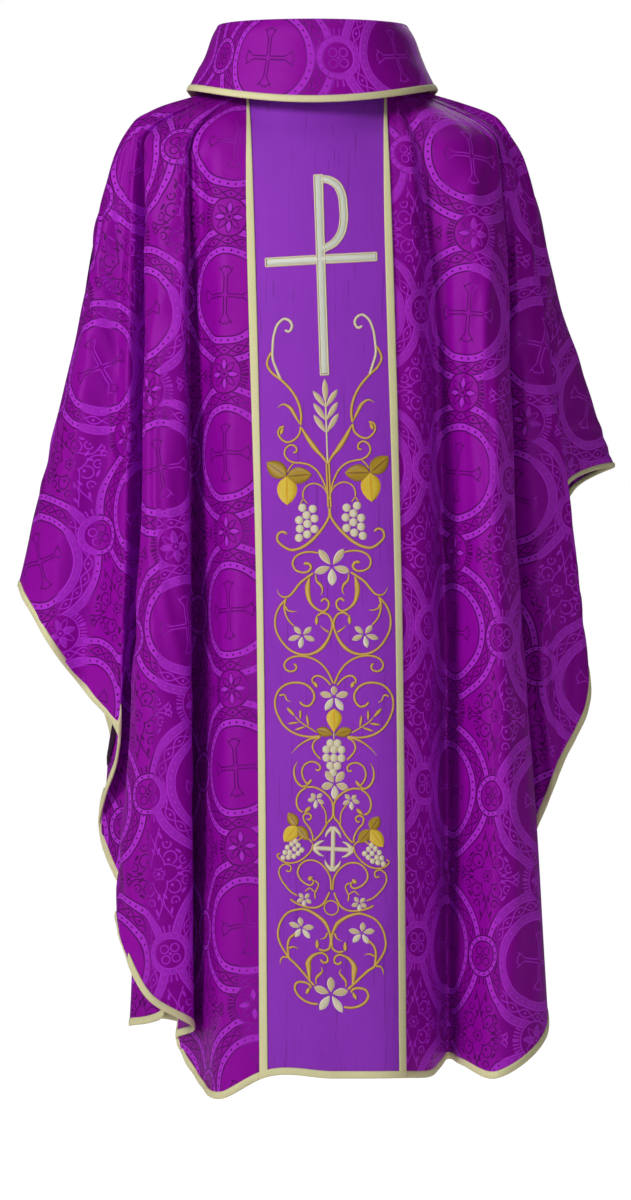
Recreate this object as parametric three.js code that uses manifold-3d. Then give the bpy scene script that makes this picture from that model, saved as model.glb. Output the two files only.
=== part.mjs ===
// A worn chasuble: four damask quarters seamed along the shoulders and down the two centre lines, an orphrey band
// over each centre seam, braid on every edge, a lining, a turned-down collar and the embroidery on the orphreys.
// Millimetres, +Z up, +Y the way the wearer faces. The origin is the middle of the neck seam, between the shoulders.
import * as THREE from "three";
import Module from "manifold-3d";
import { mergeVertices } from "three/addons/utils/BufferGeometryUtils.js";

// Overall sizes, as worn
const SPAN = 737; // wing tip to wing tip
const DEPTH = 397; // front of the breast to the folds of the back
const DROP = 1211; // neck seam down to the lowest fold
// Neck and collar
const NECK_HALF_WIDTH = 100;
const NECK_HALF_DEPTH = 92;
const COLLAR_STAND = 92; // height of the collar's fold over the neck seam, at the back
const COLLAR_SPREAD = 150; // half the width across the collar's lower edge
const COLLAR_FRONT_DROP = 84; // how far the lower edge dips at the front
const COLLAR_BACK_DROP = 21; // and at the back
const FOLD_GAP = 7; // between the collar's two leaves at the fold
// Bands and braids
const ORPHREY_WIDTH = 166;
const GALLOON_WIDTH = 11;
const HEM_BRAID_WIDTH = 9;
// Cloth, measured out from the middle of the damask
const DAMASK = [-0.6, 0.4];
const LINING = [-2.0, -1.2];
const ORPHREY = [0.9, 1.7];
const BRAID = [2.2, 3.4];
const STITCHING = [2.2, 3.2];
const HEM_BRAID = [-0.7, 0.6];
const FOOT_BRAID = [0.9, 2.5];
const COLLAR_CLOTH = [-0.5, 0.5];
const INTERLINING = [1.0, 1.8];
const GAP = 0.3; // between pieces that meet edge to edge
const HEM_GAP = 1.5; // between the damask's edge and the braid on it
const LINING_SHORT = 18; // the lining stops this far above the hem

// The sizes that the ribs and the embroidery below were drawn at. Each is scaled from them.
const DRAWN = { span: 737, depth: 397, drop: 1211, stitched: 155 };
// A rib runs from the neck seam over the shoulder to the hem, down one fold or hollow of the cloth. Each row holds
// where it leaves the neck, in degrees from +X, and its points at the shoulder, the waist and the hem.
const BACK_LEFT_RIBS = [
  [180, [-222, 2, -24], [-297, 10, -300], [-367, 25, -595]], // over the left arm, the shoulder seam
  [183, [-224, -16, -36], [-284, -38, -335], [-328, -22, -665]], // outer wing
  [186, [-222, -27, -46], [-247, -34, -370], [-282, -2, -726]], // hollow of the wing
  [189, [-221, -36, -52], [-231, -54, -410], [-242, -36, -777]], // inner wing
  [191, [-211, -30, -55], [-204, -4, -440], [-266, 18, -903]], // side flap, outer edge
  [192, [-205, -38, -58], [-186, -28, -480], [-220, -30, -1004]], // turn behind the outer roll
  [193, [-208, -56, -60], [-212, -96, -510], [-243, -104, -1000]], // outer roll, left side
  [197, [-190, -78, -62], [-188, -132, -545], [-203, -143, -1094]], // outer roll, face
  [201, [-163, -92, -66], [-156, -118, -565], [-150, -122, -1128]], // outer roll, right side
  [204, [-156, -82, -70], [-153, -56, -580], [-170, -52, -1150]], // deep hollow
  [207, [-140, -97, -74], [-132, -96, -590], [-144, -96, -1193]], // inner roll, left side
  [211, [-114, -112, -78], [-104, -150, -595], [-112, -168, -1211]], // inner roll, face
];
const BACK_CENTRE = [270, [2, -126, -85], [15, -166, -600], [20, -184, -1186]];
const BACK_RIGHT_RIBS = [
  [329, [112, -114, -78], [131, -138, -595], [136, -142, -1187]], // falls away beside the orphrey
  [334, [128, -96, -74], [157, -74, -592], [162, -82, -1169]], // deep hollow
  [338, [147, -100, -70], [173, -104, -588], [175, -118, -1174]], // long roll, left side
  [343, [182, -92, -64], [212, -142, -570], [217, -167, -1187]], // long roll, face
  [348, [216, -58, -58], [241, -106, -540], [278, -120, -1142]], // long roll, right side
  [350, [209, -32, -54], [223, -32, -490], [236, -22, -1004]], // turn behind the long roll
  [352, [221, -34, -50], [262, -54, -440], [296, -48, -825]], // lower wing, face
  [354, [226, -26, -46], [296, -34, -390], [335, -27, -722]], // lower wing, outer side
  [356, [224, -12, -42], [262, 2, -350], [278, 8, -608]], // turn behind the lower wing
  [358, [231, -3, -33], [291, 22, -285], [312, 42, -468]], // under the forearm
];
const FRONT_RIGHT_RIBS = [
  [360, [224, 4, -24], [306, 62, -262], [371, 112, -446]], // over the right arm, the shoulder seam
  [364, [228, 36, -40], [300, 122, -300], [322, 168, -474]],
  [369, [214, 66, -60], [264, 168, -400], [296, 200, -690]],
  [376, [188, 90, -80], [224, 138, -480], [246, 148, -860]],
  [382, [158, 108, -92], [188, 186, -540], [212, 208, -1010]],
  [388, [126, 116, -98], [136, 152, -580], [150, 166, -1110]],
];
const FRONT_CENTRE = [450, [0, 136, -112], [2, 192, -600], [0, 212, -1150]];
const FRONT_LEFT_RIBS = [
  [511, [-126, 116, -98], [-134, 150, -580], [-148, 168, -1142]],
  [516, [-156, 108, -92], [-182, 186, -560], [-196, 206, -1136]],
  [520, [-180, 96, -84], [-206, 140, -520], [-231, 116, -1140]], // side of the breast fold
  [524, [-192, 82, -78], [-188, 88, -490], [-188, 76, -1122]], // turn behind it
  [528, [-204, 72, -72], [-212, 66, -460], [-226, 72, -1000]], // side fold, face
  [532, [-214, 60, -64], [-230, 92, -430], [-244, 104, -900]], // side fold, outer side
  [535, [-220, 44, -54], [-258, 104, -370], [-266, 128, -746]],
  [538, [-223, 24, -38], [-288, 70, -330], [-324, 98, -646]],
];
const HEIGHTS = [0, 0.12, 0.53, 1]; // share of a rib's length at the neck, shoulder, waist and hem
const SHOULDER = 1; // where in HEIGHTS the cloth turns down over the shoulder
const ROWS = [0, 0.06, 0.15, 0.28, 0.42, 0.57, 0.72, 0.87, 1];
const LONGEST_STEP = 51; // widest column of the cloth's net

const radians = THREE.MathUtils.degToRad;

function scaled([x, y, z]) {
  return new THREE.Vector3((x * SPAN) / DRAWN.span, (y * DEPTH) / DRAWN.depth, (z * DROP) / DRAWN.drop);
}

// The neck seam rises to the sides of the neck and dips at the front.
function neckPoint(degrees) {
  const c = Math.cos(radians(degrees));
  const s = Math.sin(radians(degrees));
  return new THREE.Vector3(NECK_HALF_WIDTH * c, NECK_HALF_DEPTH * s, 22 * c * c - 30 * Math.max(0, s) ** 2);
}

function rib([neck, ...points]) {
  return { neck, points: points.map(scaled) };
}

// The rib under one edge of an orphrey, half its width from the rib under its middle.
function orphreyEdge(centre, side) {
  const half = ORPHREY_WIDTH / 2;
  const turn = THREE.MathUtils.radToDeg(Math.asin(half / NECK_HALF_WIDTH));
  const facing = Math.sign(centre[1][1]);
  const middle = rib(centre);
  const points = middle.points.map((p) => new THREE.Vector3(p.x + side * half, p.y - facing * 8, p.z));
  return { neck: centre[0] - facing * side * turn, points };
}

const ribs = [
  ...BACK_LEFT_RIBS.map(rib),
  orphreyEdge(BACK_CENTRE, -1),
  rib(BACK_CENTRE),
  orphreyEdge(BACK_CENTRE, 1),
  ...BACK_RIGHT_RIBS.map(rib),
  ...FRONT_RIGHT_RIBS.map(rib),
  orphreyEdge(FRONT_CENTRE, 1),
  rib(FRONT_CENTRE),
  orphreyEdge(FRONT_CENTRE, -1),
  ...FRONT_LEFT_RIBS.map(rib),
];
const COUNT = ribs.length;

// Distance round the cloth to each rib, the mean of the distances at the waist and at the hem.
const along = [0];
for (let i = 0; i < COUNT; i++) {
  const next = ribs[(i + 1) % COUNT];
  const waist = ribs[i].points[1].distanceTo(next.points[1]);
  const hem = ribs[i].points[2].distanceTo(next.points[2]);
  along.push(along[i] + (waist + hem) / 2);
}
const ROUND = along[COUNT];
const BACK_AT = along[BACK_LEFT_RIBS.length + 1];
const RIGHT_AT = along[BACK_LEFT_RIBS.length + 3 + BACK_RIGHT_RIBS.length];
const FRONT_AT = along[COUNT - FRONT_LEFT_RIBS.length - 2];

// The mean slope of two steps that leaves no overshoot: none at a peak, and near the gentler step's elsewhere.
function calmSlope(before, after, left, right) {
  if (before * after <= 0) return 0;
  const weights = [2 * right + left, right + 2 * left];
  return (weights[0] + weights[1]) / (weights[0] / before + weights[1] / after);
}

// The value at t of a smooth curve through values[i] at knots[i]. Its slopes are those of the parabola through each
// three, and a calm one at the knot numbered calm.
function through(knots, values, t, calm = -1) {
  let i = 0;
  while (i < knots.length - 2 && t > knots[i + 1]) i++;
  const slope = (k) => {
    const before = Math.max(k - 1, 0);
    const after = Math.min(k + 1, knots.length - 1);
    if (before === k) return (values[1] - values[0]) / (knots[1] - knots[0]);
    if (after === k) return (values[k] - values[k - 1]) / (knots[k] - knots[k - 1]);
    const left = knots[k] - knots[before];
    const right = knots[after] - knots[k];
    if (k === calm) return calmSlope((values[k] - values[before]) / left, (values[after] - values[k]) / right, left, right);
    const fall = ((values[k] - values[before]) / left) * right;
    return (fall + ((values[after] - values[k]) / right) * left) / (left + right);
  };
  const h = knots[i + 1] - knots[i];
  const s = (t - knots[i]) / h;
  const a = values[i];
  const b = values[i + 1];
  const cubic = a * (1 + 2 * s) * (1 - s) ** 2 + b * s * s * (3 - 2 * s);
  return cubic + h * (slope(i) * s * (1 - s) ** 2 - slope(i + 1) * s * s * (1 - s));
}

// The ribs' value at a distance u round the cloth, with the ribs taken round and round.
function round(u, value, perTurn = 0) {
  const turns = Math.floor(u / ROUND);
  const t = u - turns * ROUND;
  const first = along.findIndex((a, i) => t >= a && t <= along[i + 1]);
  const knots = [];
  const values = [];
  for (let k = first - 1; k <= first + 2; k++) {
    const lap = Math.floor(k / COUNT);
    knots.push(along[k - lap * COUNT] + lap * ROUND);
    values.push(value(ribs[k - lap * COUNT]) + lap * perTurn);
  }
  return through(knots, values, t) + turns * perTurn;
}

// A point of the damask: u millimetres round the cloth, v from 0 at the neck seam to 1 at the hem.
function drape(u, v) {
  const points = [neckPoint(round(u, (r) => r.neck, 360))];
  for (let level = 0; level < 3; level++) {
    const at = ["x", "y", "z"].map((axis) => round(u, (r) => r.points[level][axis]));
    points.push(new THREE.Vector3(...at));
  }
  return new THREE.Vector3(...["x", "y", "z"].map((axis) => through(HEIGHTS, points.map((p) => p[axis]), v, SHOULDER)));
}

function drapeFrame(u, v) {
  const across = drape(u + 0.5, v).sub(drape(u - 0.5, v)).normalize();
  const down = drape(u, Math.min(v + 0.004, 1)).sub(drape(u, Math.max(v - 0.004, 0))).normalize();
  return { point: drape(u, v), across, down, out: down.clone().cross(across).normalize() };
}

function ribLength(u) {
  let length = 0;
  for (let k = 1; k < ROWS.length; k++) length += drape(u, ROWS[k]).distanceTo(drape(u, ROWS[k - 1]));
  return length;
}

// A closed solid from a net of inner points and a net of outer points, each net[column][row].
function solidOfNets(inner, outer, closed) {
  const columns = inner.length;
  const rows = inner[0].length;
  const positions = [...inner.flat(), ...outer.flat()].flatMap((p) => [p.x, p.y, p.z]);
  const at = (layer, i, j) => layer * columns * rows + (i % columns) * rows + j;
  const index = [];
  const quad = (a, b, c, d) => index.push(a, b, c, a, c, d);
  const spans = closed ? columns : columns - 1;
  for (let i = 0; i < spans; i++) {
    for (let j = 0; j < rows - 1; j++) {
      quad(at(1, i, j), at(1, i, j + 1), at(1, i + 1, j + 1), at(1, i + 1, j));
      index.push(at(0, i, j), at(0, i + 1, j + 1), at(0, i, j + 1));
      index.push(at(0, i, j), at(0, i + 1, j), at(0, i + 1, j + 1));
    }
    quad(at(0, i, 0), at(1, i, 0), at(1, i + 1, 0), at(0, i + 1, 0));
    quad(at(0, i + 1, rows - 1), at(1, i + 1, rows - 1), at(1, i, rows - 1), at(0, i, rows - 1));
  }
  for (let j = 0; j < rows - 1 && !closed; j++) {
    quad(at(0, 0, j), at(0, 0, j + 1), at(1, 0, j + 1), at(1, 0, j));
    const last = columns - 1;
    quad(at(0, last, j), at(1, last, j), at(1, last, j + 1), at(0, last, j + 1));
  }
  const geometry = new THREE.BufferGeometry();
  geometry.setAttribute("position", new THREE.Float32BufferAttribute(positions, 3));
  geometry.setIndex(index);
  return geometry;
}

// Cloth between two offsets from the drape, over the given columns. rowsAt gives each column's rows, and the first
// and last columns are drawn in by half a gap.
function cloth(columns, rowsAt, [low, high], drawIn = GAP / 2) {
  const nets = [[], []];
  columns.forEach((u, i) => {
    const pull = i === 0 ? drawIn : i === columns.length - 1 ? -drawIn : 0;
    const frames = rowsAt(u).map((v) => drapeFrame(u, v));
    [low, high].forEach((offset, layer) => {
      const place = (f) => f.point.clone().addScaledVector(f.out, offset).addScaledVector(f.across, pull);
      nets[layer].push(frames.map(place));
    });
  });
  return solidOfNets(nets[0], nets[1], false);
}

// The row a given distance in from the hem. The hem runs aslant to the ribs where it climbs, so it is further there
// along the rib.
function rowAbove(u, distance) {
  const hem = drape(u + 2, 1).sub(drape(u - 2, 1)).normalize();
  const slant = hem.cross(drapeFrame(u, 1).down).length();
  return 1 - distance / Math.max(slant, 0.12) / ribLength(u);
}

// Rows of a column down to the lining's edge, and on to the hem braid's.
function liningRows(u) {
  const last = rowAbove(u, HEM_BRAID_WIDTH + LINING_SHORT);
  return ROWS.map((v) => v * last);
}
const clothRows = (u) => [...liningRows(u), rowAbove(u, HEM_BRAID_WIDTH)];
const braidRows = (u) => [rowAbove(u, HEM_BRAID_WIDTH - HEM_GAP), 1];
const footRows = (u) => [rowAbove(u, HEM_BRAID_WIDTH - GAP), 1];

// Columns of the whole net: each rib, steps between ribs, and both sides of each orphrey's galloons.
function netColumns() {
  const marks = [...along];
  for (const centre of [BACK_AT, FRONT_AT]) {
    for (const side of [-1, 1]) {
      const edge = along.reduce((best, a) => {
        const right = Math.sign(a - centre) === side;
        return right && Math.abs(a - centre) < Math.abs(best - centre) ? a : best;
      }, centre + side * ROUND);
      marks.push(edge - GALLOON_WIDTH / 2, edge + GALLOON_WIDTH / 2);
    }
  }
  marks.sort((a, b) => a - b);
  const columns = [];
  marks.forEach((a, i) => {
    columns.push(a);
    if (i === marks.length - 1) return;
    const steps = Math.max(1, Math.round((marks[i + 1] - a) / LONGEST_STEP));
    for (let k = 1; k < steps; k++) columns.push(a + ((marks[i + 1] - a) * k) / steps);
  });
  return columns;
}
const net = netColumns();

function between(from, to) {
  const slack = 1e-6;
  return net.filter((u) => u >= from - slack && u <= to + slack);
}

const damaskPurple = new THREE.MeshStandardMaterial({ color: 0x8f10b8, roughness: 0.5 });
const liningPurple = new THREE.MeshStandardMaterial({ color: 0x4c0d4f, roughness: 0.7 });
const satinPurple = new THREE.MeshStandardMaterial({ color: 0x8a3cc4, roughness: 0.45 });
const paleGold = new THREE.MeshStandardMaterial({ color: 0xe9df9f, roughness: 0.6, metalness: 0.1 });
const interliningWhite = new THREE.MeshStandardMaterial({ color: 0xe6e2dc, roughness: 0.9 });
const goldThread = new THREE.MeshStandardMaterial({ color: 0xc99a1b, roughness: 0.4, metalness: 0.3 });
const creamThread = new THREE.MeshStandardMaterial({ color: 0xf1e6c0, roughness: 0.5 });

const chasuble = new THREE.Group();
function add(name, geometry, material) {
  const mesh = new THREE.Mesh(geometry, material);
  mesh.name = name;
  chasuble.add(mesh);
}

// The four quarters, and the lining behind each.
const quarters = {
  back_left: [0, BACK_AT],
  back_right: [BACK_AT, RIGHT_AT],
  front_right: [RIGHT_AT, FRONT_AT],
  front_left: [FRONT_AT, ROUND],
};
for (const [name, [from, to]] of Object.entries(quarters)) {
  add(name + "_panel", cloth(between(from, to), clothRows, DAMASK), damaskPurple);
  add(name + "_lining", cloth(between(from, to), liningRows, LINING), liningPurple);
}

// Where each orphrey's edges lie, with its middle between them.
const orphreys = { back: BACK_AT, front: FRONT_AT };
for (const [name, centre] of Object.entries(orphreys)) {
  const middle = along.indexOf(centre);
  const [left, right] = [along[middle - 1], along[middle + 1]];
  const half = GALLOON_WIDTH / 2;
  orphreys[name] = { left, centre, right };
  add(name + "_orphrey", cloth(between(left, right), clothRows, ORPHREY), satinPurple);
  add(name + "_galloon_left", cloth(between(left - half, left + half), clothRows, BRAID), paleGold);
  add(name + "_galloon_right", cloth(between(right - half, right + half), clothRows, BRAID), paleGold);
  add(name + "_foot_braid", cloth(between(left - half, right + half), footRows, FOOT_BRAID), paleGold);
}

// The hem braid runs round each wing, from one orphrey's foot to the other's.
const gapAtFoot = GALLOON_WIDTH / 2 + GAP;
function hemBraid(from, to) {
  const inside = net.filter((u) => u > from + 1 && u < to - 1);
  return cloth([from, ...inside, to], braidRows, HEM_BRAID, 0);
}
add("right_hem_braid", hemBraid(orphreys.back.right + gapAtFoot, orphreys.front.left - gapAtFoot), paleGold);
const wrapped = net.filter((u) => u > orphreys.front.right + gapAtFoot && u < ROUND);
const leftHem = [orphreys.front.right + gapAtFoot, ...wrapped];
leftHem.push(...net.filter((u) => u < orphreys.back.left - gapAtFoot).map((u) => u + ROUND));
leftHem.push(orphreys.back.left - gapAtFoot + ROUND);
add("left_hem_braid", cloth(leftHem, braidRows, HEM_BRAID, 0), paleGold);

// The collar: an inner leaf that stands on the neck seam and an outer leaf that is turned down over it.
const COLLAR_STEPS = 20;
const COLLAR_MIDDLE = -5; // the collar sits a little to the wearer's left
const FOLD_HALF_WIDTH = 112;
const FOLD_HALF_DEPTH = 106;
const FRONT_FOLD_DROP = 54; // how much lower the fold is at the front

function foldPoint(degrees) {
  const c = Math.cos(radians(degrees));
  const s = Math.sin(radians(degrees));
  const front = Math.max(0, s) ** 2;
  return new THREE.Vector3(COLLAR_MIDDLE + FOLD_HALF_WIDTH * c, FOLD_HALF_DEPTH * s, COLLAR_STAND - FRONT_FOLD_DROP * front);
}

function fallEdgePoint(degrees) {
  const c = Math.cos(radians(degrees));
  const s = Math.sin(radians(degrees));
  const front = Math.max(0, s);
  const back = Math.max(0, -s);
  const reach = 124 + 14 * front;
  const z = 20 - COLLAR_BACK_DROP * back ** 2 - COLLAR_FRONT_DROP * front ** 2;
  return new THREE.Vector3(COLLAR_MIDDLE + COLLAR_SPREAD * c, reach * s, z);
}

// A leaf of the collar from a path per direction, as a closed ring between two offsets.
function collarLeaf(path, [low, high], rows = Infinity) {
  const nets = [[], []];
  for (let i = 0; i < COLLAR_STEPS; i++) {
    const degrees = (i * 360) / COLLAR_STEPS;
    const points = path(degrees);
    const side = path(degrees + 0.5)[0].sub(path(degrees - 0.5)[0]).normalize();
    const out = points.map((p, k) => {
      const run = points[Math.min(k + 1, points.length - 1)].clone().sub(points[Math.max(k - 1, 0)]);
      return side.clone().cross(run).normalize();
    });
    const facing = out[Math.floor(out.length / 2)].dot(neckPoint(degrees)) < 0 ? -1 : 1;
    [low, high].forEach((offset, layer) => {
      const places = points.map((p, k) => p.clone().addScaledVector(out[k], facing * offset));
      nets[layer].push(places.slice(0, rows));
    });
  }
  return solidOfNets(nets[0], nets[1], true);
}

function lifted(point, up, outward = 0) {
  const flat = new THREE.Vector3(point.x - COLLAR_MIDDLE, point.y, 0).normalize();
  return point.clone().addScaledVector(flat, outward).add(new THREE.Vector3(0, 0, up));
}

const standPath = (degrees) => {
  const foot = lifted(neckPoint(degrees), 4, -3);
  const top = lifted(foldPoint(degrees), -4);
  return [0, 0.3, 0.6, 0.93, 1].map((share) => top.clone().lerp(foot, share));
};
const fallPath = (degrees) => {
  const crest = foldPoint(degrees);
  const over = [lifted(crest, -3, -0.2), lifted(crest, -0.5, 0.8), lifted(crest, 0, FOLD_GAP / 2)];
  const down = lifted(crest, -3, FOLD_GAP);
  const edge = fallEdgePoint(degrees);
  const belly = down.clone().lerp(edge, 0.5).add(new THREE.Vector3(0, 0, -3));
  return [...over, down, belly, edge];
};
const fallBraidPath = (degrees) => {
  const points = fallPath(degrees);
  const edge = points[points.length - 1];
  const run = edge.clone().sub(points[points.length - 2]).normalize();
  return [edge.clone().addScaledVector(run, GAP), edge.clone().addScaledVector(run, HEM_BRAID_WIDTH)];
};
add("collar_stand", collarLeaf(standPath, COLLAR_CLOTH), damaskPurple);
add("collar_interlining", collarLeaf(standPath, INTERLINING, 4), interliningWhite);
add("collar_fall", collarLeaf(fallPath, COLLAR_CLOTH), damaskPurple);
add("collar_braid", collarLeaf(fallBraidPath, HEM_BRAID), paleGold);

// Embroidery, cut from a sheet that lies on the orphrey. It is drawn flat: millimetres across from the orphrey's
// middle and up from the neck seam.
const wasm = await Module();
wasm.setup();
const { CrossSection, Manifold } = wasm;

function middleAt(centre, z) {
  let v = 0.5;
  for (let k = 2; k < 14; k++) v += drape(centre, v).z > z ? 0.5 ** k : -(0.5 ** k);
  return drape(centre, v).x;
}

function solidFrom(geometry) {
  const plain = mergeVertices(geometry);
  return new Manifold(new wasm.Mesh({
    numProp: 3,
    vertProperties: new Float32Array(plain.attributes.position.array),
    triVerts: new Uint32Array(plain.index.array),
  }));
}

function disc(x, z, radius, sides = 10) {
  return CrossSection.circle(radius, sides).translate([x, z]);
}

// A line of stitching through the points, rounded at its ends, with smooth bends between them.
function stroke(points, width, steps = 2) {
  const curve = new THREE.SplineCurve(points.map(([x, z]) => new THREE.Vector2(x, z)));
  const line = curve.getPoints(points.length === 2 ? 1 : (points.length - 1) * steps);
  const dots = line.map((p) => disc(p.x, p.y, width / 2, 6));
  return CrossSection.union(dots.slice(1).map((dot, i) => CrossSection.hull([dots[i], dot])));
}

const mirrored = (points) => points.map(([x, z]) => [-x, z]);
const bothSides = (points, width) => [stroke(points, width), stroke(mirrored(points), width)];

function grapes(x, z, lean = 0) {
  const rows = [[-4.6, 4.6], [0], [-9, 9], [-4.6, 4.6], [-8.6, 8.6], [0], [-4.2, 4.2], [0]];
  const fruit = rows.flatMap((row, k) => row.map((dx) => disc(x + dx + lean * k, z + 18 - 5.4 * k, 6.2, 8)));
  return CrossSection.union(fruit);
}

function petals(x, z, radius, count) {
  const around = [...Array(count).keys()].map((k) => {
    const angle = (2 * Math.PI * k) / count + Math.PI / 2;
    return disc(x + radius * 0.58 * Math.cos(angle), z + radius * 0.58 * Math.sin(angle), radius * 0.42, 8);
  });
  return CrossSection.union([disc(x, z, radius * 0.4, 8), ...around]);
}

function leaf(x, z, side) {
  const lobes = [disc(x, z + 10, 10, 8), disc(x - 14, z - 4, 9, 8), disc(x + 14, z - 4, 9, 8)];
  const tips = [[[x, z + 10], [x + side * 3, z + 24]], [[x, z], [x, z - 18]]];
  return CrossSection.union([...lobes, disc(x, z - 2, 9, 8), ...tips.map((tip) => stroke(tip, 6))]);
}

function crossWithBow() {
  const bow = [[4, -102], [22, -106], [33, -126], [34, -152], [24, -178], [4, -188]];
  return CrossSection.union([
    stroke([[4, -103], [4, -332]], 14),
    stroke([[-60, -202], [66, -195]], 12),
    stroke(bow, 11),
  ]);
}

function wheatEar() {
  const grains = [...Array(6).keys()].flatMap((k) => {
    const z = -430 + 8 * k;
    return [[[0, z], [-8, z + 10]], [[0, z], [8, z + 10]]];
  });
  return CrossSection.union([stroke([[0, -440], [0, -376]], 5), ...grains.map((g) => stroke(g, 6))]);
}

function smallCross() {
  const arms = [[[0, -886], [0, -934]], [[-21, -910], [21, -910]]];
  const ends = [[[-9, -884], [9, -884]], [[-9, -936], [9, -936]], [[-22, -902], [-22, -918]]];
  ends.push(mirrored(ends[2]));
  return CrossSection.union([...arms.map((arm) => stroke(arm, 8)), ...ends.map((end) => stroke(end, 6))]);
}

// Left half of each vine; the right half mirrors it.
const UPPER_VINE = [
  [[0, -470], [-14, -436], [-28, -404]],
  [[0, -484], [-26, -436], [-48, -418], [-62, -426], [-58, -440]],
  [[0, -500], [-14, -488], [-30, -492]],
  [[0, -512], [-14, -544], [-34, -560], [-56, -552], [-62, -532], [-52, -522]],
];
const MIDDLE_VINE = [
  [[0, -618], [-16, -608], [-34, -594], [-36, -578]],
  [[0, -716], [-36, -708], [-64, -680], [-64, -636], [-40, -612], [-16, -622], [-14, -640]],
  [[0, -724], [-26, -722], [-54, -726], [-68, -746], [-56, -770], [-36, -764]],
];
const LOWER_VINE = [
  [[0, -964], [-16, -952], [-36, -950], [-44, -966], [-32, -976]],
  [[0, -1046], [-34, -1052], [-62, -1032], [-66, -998], [-44, -980], [-18, -986], [-12, -1004]],
  [[0, -1052], [-22, -1070], [-38, -1088], [-54, -1080]],
];

function vine(half, top, foot, motifs) {
  const strokes = half.flatMap((points) => bothSides(points, 4));
  const whole = CrossSection.union([stroke([[0, top], [0, foot]], 5), ...strokes]);
  return whole.subtract(CrossSection.union(motifs).offset(GAP, "Square"));
}

function largest(solid) {
  return solid.decompose().reduce((best, body) => (body.volume() > best.volume() ? body : best));
}

function stitch(name, which, drawing, material) {
  const { left, centre, right } = orphreys[which];
  const sheet = solidFrom(cloth(between(left, right), clothRows, STITCHING));
  const facing = Math.sign(drape(centre, 0.5).y);
  const fitted = drawing.scale([(ORPHREY_WIDTH - GALLOON_WIDTH) / DRAWN.stitched, 1]);
  const seen = facing > 0 ? fitted.mirror([1, 0]) : fitted;
  const placed = seen.warp((at) => {
    at[0] += middleAt(centre, at[1]);
  });
  const prism = placed.extrude(400).rotate([90, 0, 0]).translate([0, facing > 0 ? 400 : 0, 0]);
  const { vertProperties, triVerts } = largest(sheet.intersect(prism)).getMesh();
  const geometry = new THREE.BufferGeometry();
  geometry.setAttribute("position", new THREE.Float32BufferAttribute(vertProperties, 3));
  geometry.setIndex([...triVerts]);
  add(`${which}_${name}`, geometry, material);
}

const sprays = {
  flower_upper: petals(0, -580, 19, 5),
  flower_side_left: petals(-40, -656, 16, 5),
  flower_side_right: petals(40, -656, 16, 5),
  grapes_upper_left: grapes(-36, -522),
  grapes_upper_right: grapes(36, -522),
  flower_foot_left: petals(-38, -1016, 15, 5),
  flower_foot_right: petals(38, -1016, 15, 5),
};
const leaves = {
  leaf_upper_left: leaf(-52, -468, -1),
  leaf_upper_right: leaf(52, -468, 1),
  leaf_lower_left: leaf(-50, -872, -1),
  leaf_lower_right: leaf(50, -872, 1),
};
for (const [name, drawing] of Object.entries(sprays)) stitch(name, "back", drawing, creamThread);
for (const [name, drawing] of Object.entries(leaves)) stitch(name, "back", drawing, goldThread);
stitch("grapes_middle", "back", grapes(0, -800), creamThread);
stitch("grapes_lower_left", "back", grapes(-50, -922, -1.2), creamThread);
stitch("grapes_lower_right", "back", grapes(50, -922, 1.2), creamThread);
const inTheWay = [...Object.values(sprays), ...Object.values(leaves)];
for (const which of ["back", "front"]) {
  stitch("cross_with_bow", which, crossWithBow(), creamThread);
  stitch("wheat_ear", which, wheatEar(), creamThread);
  stitch("small_cross", which, smallCross(), goldThread);
}
stitch("upper_vine", "back", vine(UPPER_VINE, -446, -556, inTheWay), goldThread);
stitch("middle_vine", "back", vine(MIDDLE_VINE, -604, -772, inTheWay), goldThread);
stitch("lower_vine", "back", vine(LOWER_VINE, -944, -1060, inTheWay), goldThread);
stitch("flower_foot", "back", petals(0, -1084, 16, 6), creamThread);

export default chasuble;
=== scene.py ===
"""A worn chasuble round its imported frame: figured damask, lining, orphreys, braids, collar and embroidery.

Lengths are in metres, +Z up and +Y the way the wearer faces. u runs round the cloth and v down it.
"""

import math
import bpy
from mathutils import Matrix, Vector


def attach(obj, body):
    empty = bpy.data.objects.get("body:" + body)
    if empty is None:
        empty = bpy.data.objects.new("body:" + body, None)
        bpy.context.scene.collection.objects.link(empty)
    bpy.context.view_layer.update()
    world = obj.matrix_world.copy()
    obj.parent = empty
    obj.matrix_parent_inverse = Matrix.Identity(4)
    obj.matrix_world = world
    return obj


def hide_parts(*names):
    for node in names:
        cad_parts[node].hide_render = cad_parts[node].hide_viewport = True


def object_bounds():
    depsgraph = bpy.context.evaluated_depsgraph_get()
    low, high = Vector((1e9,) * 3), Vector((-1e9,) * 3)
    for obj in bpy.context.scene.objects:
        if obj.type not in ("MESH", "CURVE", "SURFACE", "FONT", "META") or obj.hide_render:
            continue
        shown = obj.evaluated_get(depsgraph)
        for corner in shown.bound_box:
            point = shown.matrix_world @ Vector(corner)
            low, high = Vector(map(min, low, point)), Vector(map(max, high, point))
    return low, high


bl_info = {
    "name": "Chasuble",
    "version": (1, 0, 0),
    "blender": (4, 5, 0),
    "location": "View3D > Sidebar > Chasuble",
    "description": "Builds a worn damask chasuble with embroidered orphreys",
    "category": "Object",
}

import bmesh
import bpy
import numpy as np

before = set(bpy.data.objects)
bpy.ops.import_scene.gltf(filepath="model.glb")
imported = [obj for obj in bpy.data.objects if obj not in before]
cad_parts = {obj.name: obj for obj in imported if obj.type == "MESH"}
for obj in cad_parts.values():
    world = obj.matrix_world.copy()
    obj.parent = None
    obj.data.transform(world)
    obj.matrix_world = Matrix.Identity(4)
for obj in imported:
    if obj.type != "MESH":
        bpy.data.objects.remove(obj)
CAD_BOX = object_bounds()
TURN = 2 * math.pi

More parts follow.
